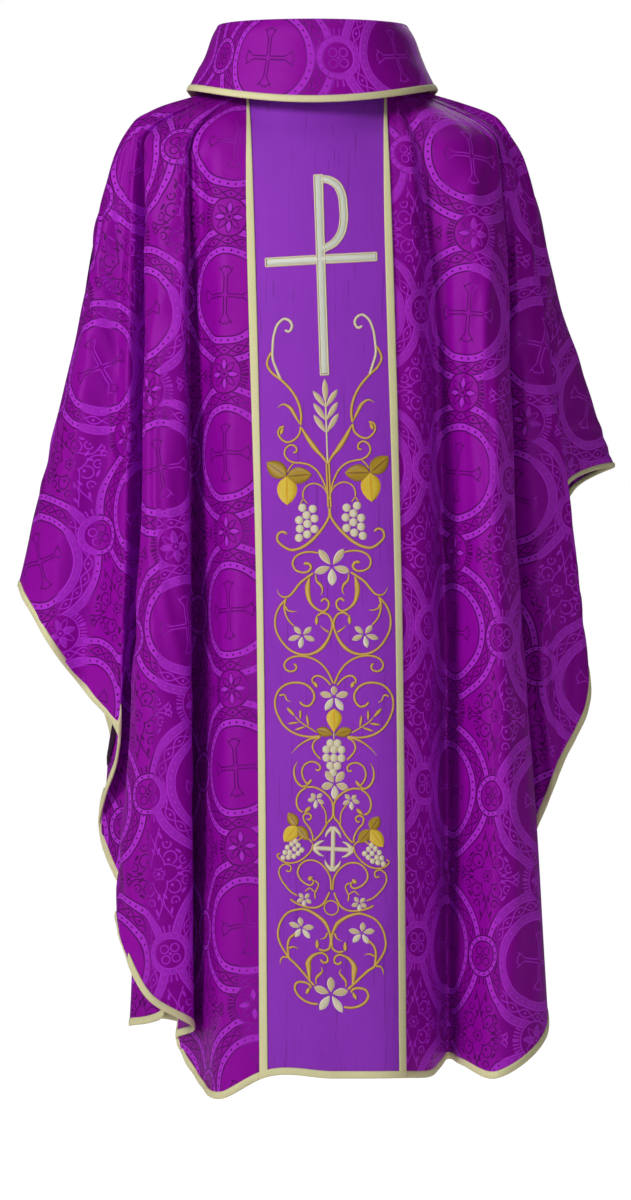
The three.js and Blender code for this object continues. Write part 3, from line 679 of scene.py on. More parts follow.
        outside = r.ramp(84.2, 85.0)
        by_q, by_p = q.ramp(25.2, 26.0, 1.0, 0.0), p.ramp(24.4, 25.2, 1.0, 0.0)
        clear = (by_q * -1 + 1) * (by_p * -1 + 1)
        far = q.ramp(35.0, 36.0) * p.ramp(34.0, 35.0)
        bands = (roundel_bands * clear).more(q_band).more(p_band * by_p)
        lines = (roundel_lines * clear).more(scrolls * outside * far).more(q_rays.more(p_rays) * outside)
        return bands, lines.more(q_lines * by_q).more(p_lines * by_p)

    sockets = [("Across", "NodeSocketFloat", 0.0), ("Down", "NodeSocketFloat", 0.0)]
    return group("Damask figure", sockets, [("Bands", "NodeSocketFloat"), ("Lines", "NodeSocketFloat")], build)


def weave(across, down, pitch):
    """Height of a plain weave: threads over and under each other, one pitch apart."""
    warp = (across * (TURN / pitch)).sine()
    weft = (down * (TURN / pitch)).sine()
    return warp * weft * 0.5 + 0.5


def damask_material(sizes, colours):
    """Silk damask. The ground is the shiny warp face; bands of the figure are paler, and its lines are painted dark
    where the cloth faces the key lamp and light where it turns away.
    """
    s = Shader("damask")
    across, down = s.cloth_place()
    figure = s.node("ShaderNodeGroup", node_tree=damask_figure(sizes.repeat_across, sizes.repeat_down))
    wander = s.noise(14.0, detail=2.0)
    join(s.tree, figure.inputs[0], across + wander * 0.002)
    join(s.tree, figure.inputs[1], down)
    bands, lines = (Value(s.tree, socket) for socket in figure.outputs)
    cloudy = s.noise(5.0, detail=3.0)
    slub = s.noise(60.0, detail=3.0, stretch=(1.0, 1.0, 0.12))
    ground = s.mix(cloudy, shade(colours.ground, 0.84), shade(colours.ground, 1.14))
    ground = s.mix(slub * 0.25, ground, shade(colours.ground, 1.3))
    # Painted light: the fine lines are dark on the side of a fold that is turned to the wearer's left, toward the key
    # lamp, and light on the other, as the sheen of two weaves that face different ways changes their tone when the
    # cloth turns under the lamp.
    turned = s.node("ShaderNodeVectorMath", operation="DOT_PRODUCT")
    s.tree.links.new(s.node("ShaderNodeNewGeometry").outputs["Normal"], turned.inputs[0])
    turned.inputs[1].default_value = (-0.75, -0.6, 0.25)
    key_lit_share = (Value(s.tree, turned.outputs["Value"]) + wander * 0.5).ramp(0.55, 1.05)
    tone = s.mix(bands * 0.9, ground, rgba(colours.figure))
    # Painted light: light lines where the cloth faces away from the key lamp, dark lines where it faces it.
    line_tone_by_lamp = s.mix(key_lit_share, shade(colours.figure, 1.3), shade(colours.ground, 0.2))
    tone = s.mix(lines * 0.9, tone, line_tone_by_lamp)
    rough = bands * 0.14 + lines * 0.1 + 0.34 + cloudy * 0.06
    height = weave(across, down, 0.0009) * 0.25 + bands * 0.3 - lines * 0.55 + slub * 0.2
    return s.put(
        Base_Color=tone,
        Roughness=rough,
        Specular_IOR_Level=0.36,
        Specular_Tint=(0.8, 0.22, 1.0, 1.0),
        Sheen_Weight=0.08,
        Sheen_Roughness=0.4,
        Sheen_Tint=(0.7, 0.12, 1.0, 1.0),
        Normal=s.bump(height, 0.0005, 0.6),
    )


def satin_material(colours):
    """Plain satin with slubs: thin darker streaks down the cloth, a soft cloudiness and a fine weave."""
    s = Shader("orphrey_satin")
    across, down = s.cloth_place()
    place = s.node("ShaderNodeTexCoord").outputs["Object"]
    streak = s.noise(260.0, place, detail=2.0, stretch=(1.0, 0.2, 0.045)).ramp(0.60, 0.72)
    short = s.noise(420.0, place, detail=1.0, stretch=(1.0, 0.2, 0.10)).ramp(0.62, 0.75)
    cloudy = s.noise(7.0, detail=3.0)
    tone = s.mix(cloudy, shade(colours.satin, 0.86), shade(colours.satin, 1.12))
    tone = s.mix(streak * 0.45 + short * 0.2, tone, shade(colours.satin, 0.52))
    height = weave(across, down, 0.0008) * 0.4 + streak * 0.5
    return s.put(
        Base_Color=tone,
        Roughness=streak * 0.1 + 0.42,
        Specular_IOR_Level=0.4,
        Specular_Tint=(0.8, 0.3, 1.0, 1.0),
        Sheen_Weight=0.05,
        Sheen_Roughness=0.5,
        Normal=s.bump(height, 0.0004, 0.5),
    )


def lining_material(colours):
    """Dark plain lining with a fine twill."""
    s = Shader("lining")
    across, down = s.cloth_place()
    twill = ((across + down) * (TURN / 0.0012)).sine() * 0.5 + 0.5
    cloudy = s.noise(9.0, detail=3.0)
    tone = s.mix(cloudy, shade(colours.lining, 0.8), shade(colours.lining, 1.3))
    return s.put(
        Base_Color=tone, Roughness=0.6, Specular_IOR_Level=0.2, Normal=s.bump(twill, 0.0002, 0.4)
    )


def braid_material(colours):
    """Woven braid: ribs across its width with a herringbone, painted shade in the grooves between the ribs, darker
    along its two selvedges, faintly soiled.
    """
    s = Shader("braid")
    across, down = s.cloth_place()
    off = abs(across - 0.5)
    rib = ((down + off * 0.0022) * (TURN / 0.0021)).sine() * 0.5 + 0.5
    thread = ((down - off * 0.004) * (TURN / 0.0007)).sine() * 0.5 + 0.5
    edge = off.ramp(0.36, 0.5)
    soil = s.noise(22.0, detail=4.0)
    tone = s.mix(soil, shade(colours.braid, 0.93), shade(colours.braid, 1.06))
    # Painted shade: the grooves between the ribs are darkened.
    tone = s.mix((rib * -1 + 1) * 0.4, tone, shade(colours.braid, 0.66))
    tone = s.mix(edge * 0.4, tone, (0.62, 0.47, 0.16, 1.0))
    return s.put(
        Base_Color=tone,
        Roughness=0.52,
        Metallic=0.06,
        Sheen_Weight=0.2,
        Normal=s.bump(rib * 0.6 + thread * 0.25, 0.0004, 0.6),
    )


def thread_material(name, body, edge, crest, metallic=0.0, vein=None):
    """Satin stitch: threads laid across the shape, with a painted highlight along its crest. The edge colour, at its
    edges and between the threads, is painted shade on gold, cream, grape and silver thread, on gold partly a real brown
    outline too, and on the petals their real pale outline. UV runs 0 to 1 across a shape and in metres along it."""
    s = Shader(name)
    across, down = s.cloth_place()
    off = abs(across - 0.5) * 2
    thread = ((down + off * 0.0004) * (TURN / 0.0008)).sine() * 0.5 + 0.5
    uneven = s.noise(240.0, detail=3.0)
    # Painted highlight: the crest colour along the middle of the stitch.
    tone = s.mix(off.ramp(0.0, 0.55) * 0.85, crest, body)
    # Painted shade toward the edges, except on the petals, where the edge colour is their real pale outline.
    tone = s.mix(off.ramp(0.62, 0.98), tone, edge)
    if vein is not None:
        tone = s.mix(off.ramp(0.06, 0.2, 1.0, 0.0), tone, vein)
    # The edge colour again between the threads, with random unevenness: painted shade in the grooves, except on the
    # petals.
    tone = s.mix((thread * -1 + 1) * 0.2 + uneven * 0.16, tone, edge)
    return s.put(
        Base_Color=tone,
        Roughness=uneven * 0.15 + 0.3,
        Metallic=metallic,
        Specular_IOR_Level=0.55,
        Normal=s.bump(thread * 0.7 + uneven * 0.3, 0.0003, 0.6),
    )


def interlining_material():
    """Pale stiff canvas with a fibrous surface."""
    s = Shader("interlining")
    fibres = s.noise(500.0, detail=4.0)
    tone = s.mix(fibres, (0.66, 0.63, 0.58, 1.0), (0.82, 0.80, 0.76, 1.0))
    return s.put(Base_Color=tone, Roughness=0.95, Normal=s.bump(fibres, 0.0004, 0.5))


# ---------------------------------------------------------------------------------------------------------------
# Pieces


# Heights above the damask's own surface, and how far a quarter dips at its seams.
DAMASK_ABOVE, SEAM_DIP, LINING_ABOVE, ORPHREY_ABOVE = 0.0004, 0.0006, -0.0015, 0.0014
GALLOON_LAYER, FOOT_LAYER, HEM_LAYER = (0.0016, 0.0031), (0.0014, 0.0036), (-0.0018, 0.0016)


def state():
    """The drape and the two property groups, which every operator works from."""
    scene = bpy.context.scene
    return Drape(RIBS, scene.chasuble_sizes.ripple), scene.chasuble_sizes, scene.chasuble_colours


def made(name, build):
    """The material of that name, made by build() the first time it is asked for."""
    return bpy.data.materials.get("worn_" + name) or build()


def finish_piece(obj, material, slot_name, *nodes):
    """Gives a piece its material, rides it on the garment and lets it stand for its CAD nodes. The slot name is not
    used.
    """
    obj.data.materials.append(material)
    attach(obj, "root")
    if nodes:
        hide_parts(*nodes)
    return obj


def cloth_grid(name, drape, start, end, last, above, columns, rows, uv=None, seam_dip=0.0):
    """A grid of the drape: point(i, j) is the drape at the i-th u from start to end and the j-th v from 0 to that
    column's last row, a given height above the damask. Near its two edges it dips by seam_dip, as a seam does."""
    u = np.linspace(start, end, columns)
    v = np.linspace(0, 1, rows)[None] * last(u)[:, None]
    aside = np.minimum(u - start, end - u)
    height = above - seam_dip * np.exp(-((aside / 0.004) ** 2))[:, None] + 0 * v
    points, *_ = drape.surface(u[:, None] + 0 * v, v, height)
    places = np.stack([u[:, None] + 0 * v, -v], axis=-1) if uv is None else uv(u[:, None] + 0 * v, v)
    return mesh_object(name, points, grid_faces(columns, rows)[:, ::-1], places)


QUARTERS = ("back_left", "back_right", "front_right", "front_left")


def quarter_ends(drape, name):
    """The u where a quarter starts and ends."""
    marks = [0, drape.back, drape.right, drape.front, drape.length]
    at = QUARTERS.index(name)
    return marks[at], marks[at + 1]


def flat_size(flat):
    """Width, length and area of a flat cut, from the net's places."""
    span = flat.reshape(-1, 2).max(axis=0) - flat.reshape(-1, 2).min(axis=0)
    a, b = flat[1:, 1:] - flat[:-1, :-1], flat[1:, :-1] - flat[:-1, 1:]
    return span, np.abs(a[..., 0] * b[..., 1] - a[..., 1] * b[..., 0]).sum() / 2


# Where the middle of a roundel falls on each quarter's flat cut: across from the centre seam and up from the neck.
ROUNDEL_AT = {
    "back_left": (-0.088, 0.258),
    "back_right": (0.186, 0.087),
    "front_right": (-0.086, 0.245),
    "front_left": (0.086, 0.245),
}


class CHASUBLE_OT_quarters(bpy.types.Operator):
    """Builds the four damask quarters, each with its flat cut worked out so that the figure lies as woven"""

    bl_idname = "chasuble.quarters"
    bl_label = "Damask and lining"

    def execute(self, context):
        drape, sizes, colours = state()
        damask = made("damask", lambda: damask_material(sizes, colours))
        lining = made("lining", lambda: lining_material(colours))
        for name in QUARTERS:
            start, end = quarter_ends(drape, name)
            seam = drape.back if name.startswith("back") else drape.front
            net_u, net_v, flat = flat_cut(drape, start, end, seam)
            away = np.sign(flat[-1 if abs(start - seam) < abs(end - seam) else 0, -1, 0])
            out = -1 if name in ("back_left", "front_right") else 1
            flat[..., 0] *= away * out
            shift = np.array(ROUNDEL_AT[name])
            span, area = flat_size(flat)
            place = lambda u, v: on_net(net_u, net_v, flat, u, v) - shift
            columns = int((end - start) / 0.0044)
            panel = cloth_grid(
                name + "_damask", drape, start, end,
                lambda u: drape.row_above(u, sizes.braid_width * 0.5), DAMASK_ABOVE, columns, 300, place, SEAM_DIP,
            )
            finish_piece(panel, damask, "damask", name + "_panel")
            inside = cloth_grid(
                name + "_lining_cloth", drape, start, end,
                lambda u: drape.row_above(u, sizes.braid_width + sizes.lining_short),
                LINING_ABOVE, columns // 2, 150, place,
            )
            inside.data.flip_normals()
            finish_piece(inside, lining, "lining", name + "_lining")
        return {"FINISHED"}


def orphrey_span(drape, middle):
    """The u of an orphrey's two edges and of its middle."""
    at = int(np.argmin(np.abs(drape.along - middle)))
    return drape.along[at - 1], middle, drape.along[at + 1]


def swept(name, rings, x, way, closed=False):
    """A band from rings of points, with x running across it. Its cloth is laid out along it, down or up by way."""
    gone = gone_along(rings.mean(axis=1))
    uv = np.stack(np.broadcast_arrays(0.5 + 0.5 * x[None], way * gone[:, None]), axis=-1)
    return capped_rings(name, rings, uv, closed)


def band_on_cloth(name, drape, middle, half, v, low, high):
    """A closed flat band sewn down the cloth: its section is a flattened ring round u = middle, between two heights."""
    x, y = flat_ring(14, 3.0)
    u = middle + half * x[None] + 0 * v[:, None]
    rings, *_ = drape.surface(u, v[:, None] + 0 * u, (low + high) / 2 + (high - low) / 2 * y[None] + 0 * u)
    return swept(name, rings, x, -1)


def capped_rings(name, rings, uv, closed=False):
    """A band from its rings of points; an open band gets a point in the middle of each end."""
    count, points = rings.shape[:2]
    faces = grid_faces(count, points, closed_rows=closed, closed_columns=True).tolist()
    vertices, places = rings.reshape(-1, 3), uv.reshape(-1, 2)
    if not closed:
        first = len(vertices)
        vertices = np.concatenate([vertices, rings[[0, -1]].mean(axis=1)])
        places = np.concatenate([places, uv[[0, -1]].mean(axis=1)])
        k = np.arange(points)
        after, end = (k + 1) % points, (count - 1) * points
        faces += np.stack([np.full(points, first), k, after], 1).tolist()
        faces += np.stack([np.full(points, first + 1), end + after, end + k], 1).tolist()
    return face_out(mesh_object(name, vertices, faces, places))


class CHASUBLE_OT_orphreys(bpy.types.Operator):
    """Builds the satin orphreys, the galloon down each side of them and the braid across each foot"""

    bl_idname = "chasuble.orphreys"
    bl_label = "Orphreys and galloons"

    def execute(self, context):
        drape, sizes, colours = state()
        satin = made("orphrey_satin", lambda: satin_material(colours))
        braid = made("braid", lambda: braid_material(colours))
        half = sizes.galloon_width / 2
        for name, centre in (("back", drape.back), ("front", drape.front)):
            left, middle, right = orphrey_span(drape, centre)
            length = float(drape.rib_length(np.array([middle]))[0])
            place = lambda u, v: np.stack([u - middle, -v * length], axis=-1)
            foot = lambda u: drape.row_above(u, sizes.braid_width * 0.5)
            band = cloth_grid(name + "_orphrey_satin", drape, left, right, foot, ORPHREY_ABOVE, 90, 360, place)
            finish_piece(band, satin, "orphrey_satin", name + "_orphrey")
            for side, u in (("left", left), ("right", right)):
                v = np.linspace(0, float(foot(np.array([u]))[0]), 420)
                strip = band_on_cloth(f"{name}_galloon_braid_{side}", drape, u, half, v, *GALLOON_LAYER)
                finish_piece(strip, braid, "braid", f"{name}_galloon_{side}")
            u = np.linspace(left - half, right + half, 130)
            strip = hem_band(name + "_foot_galloon", drape, u, sizes.braid_width, *FOOT_LAYER)
            finish_piece(strip, braid, "braid", name + "_foot_braid")
            float(right - left)
            name + "_left_damask"
            name + "_right_damask"
        return {"FINISHED"}


def hem_band(name, drape, u, width, low, high):
    """A closed band bound along the hem, square to it: its section is a flattened ring from the hem up the cloth."""
    x, y = flat_ring(12, 2.6)
    within = width * (0.5 - 0.5 * x)
    v = 1 - within[None] * (1 - drape.row_above(u, 1.0))[:, None]
    uu = u[:, None] + 0 * v
    rings, *_ = drape.surface(uu, v, (low + high) / 2 + (high - low) / 2 * y[None] + 0 * v)
    return swept(name, rings, x, 1)


class CHASUBLE_OT_hem(bpy.types.Operator):
    """Binds the hem of each wing with braid, from one orphrey's foot to the other's"""

    bl_idname = "chasuble.hem"
    bl_label = "Hem braid"

    def execute(self, context):
        drape, sizes, colours = state()
        braid = made("braid", lambda: braid_material(colours))
        past = sizes.galloon_width / 2 - 0.001
        back, front = orphrey_span(drape, drape.back), orphrey_span(drape, drape.front)
        runs = {
            "right": (back[2] + past, front[0] - past),
            "left": (front[2] + past, back[0] - past + drape.length),
        }
        for side, (start, end) in runs.items():
            u = np.linspace(start, end, int((end - start) / 0.0032))
            strip = hem_band(side + "_hem_binding", drape, u, sizes.braid_width, *HEM_LAYER)
            finish_piece(strip, braid, "braid", side + "_hem_braid")
        return {"FINISHED"}


# The collar. Degrees run from +X towards +Y, as at the neck seam. The crest and the edge sit a little to one side.
COLLAR_MIDDLE = -0.005


def fold_point(degrees):
    """The crest, where the collar turns over. It is nearly level over the back and drops to the front."""
    c, s = np.cos(np.radians(degrees)), np.sin(np.radians(degrees))
    front = np.maximum(0, s) ** 2
    return np.stack([COLLAR_MIDDLE + 0.112 * c, 0.106 * s, 0.0935 - 0.054 * front], axis=-1)


def fall_edge_point(degrees):
    """The edge of the leaf that is turned down, lower and wider in front."""
    c, s = np.cos(np.radians(degrees)), np.sin(np.radians(degrees))
    front, back = np.maximum(0, s), np.maximum(0, -s)
    return np.stack(
        [COLLAR_MIDDLE + 0.150 * c, (0.124 + 0.014 * front) * s, 0.020 - 0.021 * back**2 - 0.084 * front**2], axis=-1
    )


def lifted(points, up, outward=0.0):
    """The points moved up, and outward from the collar's middle line."""
    flat = points - [COLLAR_MIDDLE, 0, 0]
    flat[..., 2] = 0
    return points + unit(flat) * outward + np.array([0, 0, up])


def collar_ring(path, columns, rows, ripple=0.0):
    """A ring of cloth. path gives a few points down the leaf for every direction; a smooth line joins them."""
    degrees = np.linspace(0, 360, columns, endpoint=False)
    marks = np.stack(path(degrees), axis=0)
    step = np.linalg.norm(np.diff(marks, axis=0), axis=2).mean(axis=1)
    knots = np.concatenate([[0], np.cumsum(step)])
    points = smooth_through(knots, marks, np.linspace(0, knots[-1], rows)).transpose(1, 0, 2)
    if ripple:
        t = np.radians(degrees)[:, None]
        down = np.linspace(0, 1, rows)[None]
        wave = np.sin(5 * t + 1.0) * np.sin(2.4 * down + 0.4) + 0.6 * np.sin(11 * t + 2.5 * down) * down
        outward = points - lifted(points, 0, -1)
        points = points + outward * (ripple * wave * np.sin(np.pi * np.minimum(down * 1.4, 1)) ** 0.5)[..., None]
    around = gone_along(points[:, -1])
    gone = np.linspace(0, knots[-1], rows)
    uv = np.stack(np.broadcast_arrays(around[:, None], -gone[None]), axis=-1)
    # The ring is cut open at its seam in front, so that the figure runs on without a jump.
    start = int(columns * 0.25)
    points = np.roll(points, -start, axis=0)
    points = np.concatenate([points, points[:1]])
    uv = np.concatenate([uv, uv[-1:] + [[[around[-1] / columns, 0]]]])
    return points, uv, grid_faces(columns + 1, rows)


class CHASUBLE_OT_collar(bpy.types.Operator):
    """Builds the collar: the leaf that stands on the neck seam, its interlining, the leaf turned down and its braid"""

    bl_idname = "chasuble.collar"
    bl_label = "Collar"

    def execute(self, context):
        _, sizes, colours = state()
        damask = made("damask", lambda: damask_material(sizes, colours))
        braid = made("braid", lambda: braid_material(colours))
        stiff = made("interlining", interlining_material)

        def fall_path(degrees):
            crest, edge = fold_point(degrees), fall_edge_point(degrees)
            down = lifted(crest, -0.005, 0.0068)
            belly = down * 0.5 + edge * 0.5 + [0, 0, -0.003]
            over = [lifted(crest, -0.005, -0.0008), lifted(crest, -0.0012, 0.0006), lifted(crest, 0.0, 0.0032)]
            return [*over, down, belly, edge]

        def stand_path(degrees):
            foot = lifted(neck_point(degrees), 0.001, -0.002)
            top = lifted(fold_point(degrees), -0.0052, -0.0008)
            return [top, top * 0.6 + foot * 0.4 + [0, 0, 0.001], foot]

        def lining_path(degrees):
            upper = [lifted(p, 0, 0.0014) for p in stand_path(degrees)[:2]]
            return [*upper, lifted(neck_point(degrees), 0.008, 0.0012)]

        points, uv, faces = collar_ring(fall_path, 320, 44, 0.0012)
        fall = mesh_object("collar_fall_cloth", points, faces[:, ::-1], uv + [[[0.086, 0.055]]])
        finish_piece(fall, damask, "damask", "collar_fall")
        edge = points[:-1, -1]
        run = unit(edge - points[:-1, -3])
        out = unit(np.cross(run, np.roll(edge, -1, axis=0) - np.roll(edge, 1, axis=0)))
        out *= np.sign((out * edge).sum(axis=1))[:, None]
        x, y = flat_ring(12, 2.6)
        half, half_height, lap = sizes.braid_width / 2, 0.0016, 0.0006
        middle = edge + run * (half - lap)
        rings = middle[:, None] + half * x[None, :, None] * run[:, None] + half_height * y[None, :, None] * out[:, None]
        binding = swept("collar_binding", rings, x, 1, closed=True)
        finish_piece(binding, braid, "braid", "collar_braid")

        points, uv, faces = collar_ring(stand_path, 240, 26)
        stand = mesh_object("collar_stand_cloth", points, faces, uv)
        finish_piece(stand, damask, "damask", "collar_stand")

        points, uv, faces = collar_ring(lining_path, 180, 16)
        buckram = mesh_object("collar_buckram", points, faces[:, ::-1], uv)
        finish_piece(buckram, stiff, "interlining", "collar_interlining")
        return {"FINISHED"}


# ---------------------------------------------------------------------------------------------------------------
# Embroidery. Shapes are drawn flat, in millimetres: x out from the orphrey's middle, z up from the neck seam. Every
# shape is drawn for the right side and given again, mirrored, for the left.


def spline(points, step=1.1):
    """A smooth line through the points, evenly stepped."""
    points = np.array(points, float)
    if len(points) == 2:
        return evened(points, step)
    gone = gone_along(points)
    fine = smooth_through(gone, points, np.linspace(0, gone[-1], int(gone[-1] / 0.4) + 4))
    return evened(fine, step)


def ribbon(points, width, height=1.1, ends=(True, True), sides=7):
    """A line of satin stitch: a low rounded ridge. width is one number, or widths spaced evenly along it. Each end
    that is True is rounded off. Returns places (x, z, height), UV and faces."""
    line = spline(points)
    count = len(line)
    widths = np.interp(np.linspace(0, 1, count), np.linspace(0, 1, np.size(width)), np.atleast_1d(width))
    gone = gone_along(line)
    left = [gone, gone[-1] - gone]
    for end, away in zip(ends, left):
        if end:
            near = np.clip(away / (widths / 2 + 0.01), 0, 1)
            widths = widths * np.sqrt(1 - (1 - near) ** 2 * 0.98)
    ahead = np.gradient(line, axis=0)
    ahead /= np.linalg.norm(ahead, axis=1, keepdims=True) + 1e-9
    side = np.stack([ahead[:, 1], -ahead[:, 0]], axis=1)
    across = np.linspace(-1, 1, sides)
    flat = line[:, None] + side[:, None] * (across[None] * widths[:, None] / 2)[..., None]
    rise = height * np.sqrt(1 - across**2)[None] * np.minimum(widths / 2.4, 1)[:, None]
    places = np.concatenate([flat, rise[..., None]], axis=-1)
    uv = np.stack(np.broadcast_arrays(0.5 + 0.5 * across[None], gone[:, None] / 1000), axis=-1)
    return places.reshape(-1, 3), uv.reshape(-1, 2), grid_faces(count, sides)


def petal(root, tip, half, height=1.2, belly=0.55):
    """A pointed leaf from root to tip, widest a little past its middle."""
    t = np.linspace(0, 1, 9)
    shape = np.sin(np.pi * t ** (math.log(0.5) / math.log(belly))) ** 0.7
    return ribbon([root, tip], 2 * half * shape + 0.05, height, ends=(False, False), sides=9)


def dome(x, z, radius, height=1.6):
    """A padded round: rings from the edge up to the top."""
    angle = np.linspace(0, TURN, 14, endpoint=False)
    level = np.array([1.0, 0.86, 0.6, 0.3, 0.02])
    flat_x = x + radius * level[:, None] * np.cos(angle)
    flat_z = z + radius * level[:, None] * np.sin(angle)
    rise = height * np.sqrt(1 - level**2)[:, None] + 0 * angle
    places = np.stack([flat_x, flat_z, rise], axis=-1)
    uv = np.stack([0.5 + 0.5 * level[:, None] * np.cos(angle), level[:, None] * radius * np.sin(angle) / 1000], axis=-1)
    return places.reshape(-1, 3), uv.reshape(-1, 2), grid_faces(5, 14, closed_columns=True)


def flower(x, z, tips, half, height=1.2):
    """Petals from near a flower's middle to each tip, the tips given from the middle."""
    return [petal((x + 0.1 * dx, z + 0.1 * dz), (x + dx, z + dz), half, height) for dx, dz in tips]


def mirrored(shapes):
    """The same shapes on the other side of the orphrey's middle, still facing out."""
    return [(places * [-1, 1, 1], uv, faces[:, ::-1]) for places, uv, faces in shapes]


def both(shapes):
    """The shapes, and the same mirrored."""
    return shapes + mirrored(shapes)


# How the design on the back leans, and how far it drifts from the orphrey's middle, at heights from the neck seam.
LEAN_AT, LEAN = [-1.080, -0.890, -0.650, -0.400], [-0.11, -0.05, 0.015, 0.055]
DRIFT_AT = [-1.084, -0.982, -0.910, -0.727, -0.571, -0.435, -0.300, -0.100]
DRIFT = [-0.0017, -0.0006, 0.0019, 0.0047, 0.0043, 0.002, 0.001, 0.0]
FALL_PER_V = 1.15


class Ground:
    """The orphrey that shapes are stitched on: where its design leans and drifts from the middle, and the drape."""

    def __init__(self, drape, middle, back):
        self.drape, self.middle, self.back = drape, middle, back
        self.v = np.linspace(0, 1, 400)
        self.z = drape.bare(middle + 0 * self.v, self.v)[:, 2]

    def place(self, places):
        """Points on the drape for shapes' x, z and height, all in millimetres."""
        x, z, height = (places / 1000).T
        if self.back:
            z = z + x * np.interp(z, LEAN_AT, LEAN)
            x = x + np.interp(z, DRIFT_AT, DRIFT)
        u = self.middle + x
        v = np.interp(-z, -self.z, self.v)
        for _ in range(3):
            now = self.drape.bare(u, v)[:, 2]
            v = np.clip(v + (now - z) / FALL_PER_V, 0, 0.999)
        points, *_ = self.drape.surface(u, v, ORPHREY_ABOVE + height)
        return points


def stitched(name, ground, shapes, material, slot_name, *nodes):
    """One object from many flat shapes."""
    places, uvs, faces, base = [], [], [], 0
    for one, uv, quads in shapes:
        places.append(one)
        uvs.append(uv)
        faces.append(quads + base)
        base += len(one)
    obj = mesh_object(name, ground.place(np.concatenate(places)), np.concatenate(faces), np.concatenate(uvs))
    return finish_piece(obj, material, slot_name, *nodes)


def cross_with_bow():
    """The long cross: silver filling, and the cream-gold edge stitched round it. Not mirrored."""
    bow = [
        (3, -102.5), (12, -104), (21, -110), (26.5, -121), (28.6, -138), (28.5, -155), (25, -170), (17, -181),
            (3, -188)
    ]
    bars = (([(0, -98), (0, -338)], 9.4), ([(-65, -200), (65, -200)], 8.6), (bow, 7.2))
    fill = [ribbon(line, width, 0.9, ends=(False, False)) for line, width in bars]
    rims = [((side * 5.2, -97), (side * 5.2, -340)) for side in (-1, 1)]
    rims += [((side * 6, z), (side * 67, z)) for side in (-1, 1) for z in (-195.2, -204.8)]
    rims += [((-6, z), (6, z)) for z in (-97.5, -339.5)]
    rims += [((side * 66.6, -194.5), (side * 66.6, -205.5)) for side in (-1, 1)]
    edge = [ribbon(rim, 2.2, 1.3) for rim in rims]
    line = spline(bow, 3.0)
    ahead = unit(np.gradient(line, axis=0))
    side = np.stack([ahead[:, 1], -ahead[:, 0]], axis=1)
    edge += [ribbon(line + 4.0 * side * k, 2.0, 1.3) for k in (-1, 1)]
    return fill, edge


def wheat_ear():
    """Grains in pairs up a stem, each a petal of cream round a tan middle."""
    grains = [petal((0, -374), (0, -344), 3.8)]
    for root, tip in (((0, -379), (15.5, -358)), ((0, -395), (15.2, -373)), ((0, -410), (15.5, -387))):
        grains += both([petal(root, tip, 3.3)])
    return grains, [ribbon([(0, -372), (0, -447)], 2.4)]


GOLD_UPPER = [
    ([(31, -399), (30, -387), (33.3, -370.5), (40.5, -356.5), (52.7, -342.5), (63.6, -333), (68.7, -323),
        (66.2, -314), (62.2, -308)], 3.3),
    ([(31, -399), (37.8, -385.5), (43.2, -376.5), (50.4, -372.5), (57.8, -376)], [0.8, 3.5, 4.5, 3, 0.6]),
    ([(31, -400), (32.5, -409), (38.8, -416), (47, -418.5), (54, -414), (57.5, -406.5), (55, -400.5),
        (49.5, -399)], 2.9),
    ([(30.5, -401), (23, -415), (13, -430), (4, -441), (0, -448)], [2, 5, 6.4, 4, 3]),
    ([(0.5, -490), (3.5, -476), (8, -464), (14, -454), (23, -447), (32, -444.5), (40, -443.5), (47, -439.5),
        (50.5, -433), (48, -425), (42, -422), (36.8, -425.5), (37, -431), (41, -431.5)], 2.7),
    ([(40, -444.5), (44.5, -449), (48, -455)], 2.2),
    ([(1.6, -446), (1.6, -500)], 2.8),
    ([(1, -486), (3.5, -480), (10, -472.5), (19.5, -470), (27.5, -474), (31, -483), (30.5, -488)], 2.2),
    ([(30.5, -488), (34.5, -494)], 1.8),
    ([(30.5, -488), (26, -494)], 1.8),
    ([(0.5, -500), (1, -510), (6, -519.5), (15, -531), (26, -541.5), (36, -547.5), (46, -549.5), (56, -544.5),
        (63, -535.5), (61, -529), (55.5, -527), (50.8, -530)], [3.2, 3.4, 4.2, 3.6, 3.2, 3.2]),
    ([(15, -554), (24, -552.5), (34, -553.5), (41.5, -557.5), (45.5, -565), (43, -573), (35, -577), (28, -576),
        (24.5, -571), (27.5, -566.5), (33, -566.5)], [2.6, 2.8, 2.8, 3, 4.2]),
]
CREAM_UPPER = [
    ([(52.7, -342.5), (57.5, -329.5), (61.4, -317.5), (61.2, -303), (58.8, -286.5), (53.4, -274.4), (45.9, -269.4),
        (39.4, -273.2), (37.8, -279.8), (41.7, -285), (46.5, -282.8)], 3.3),
]
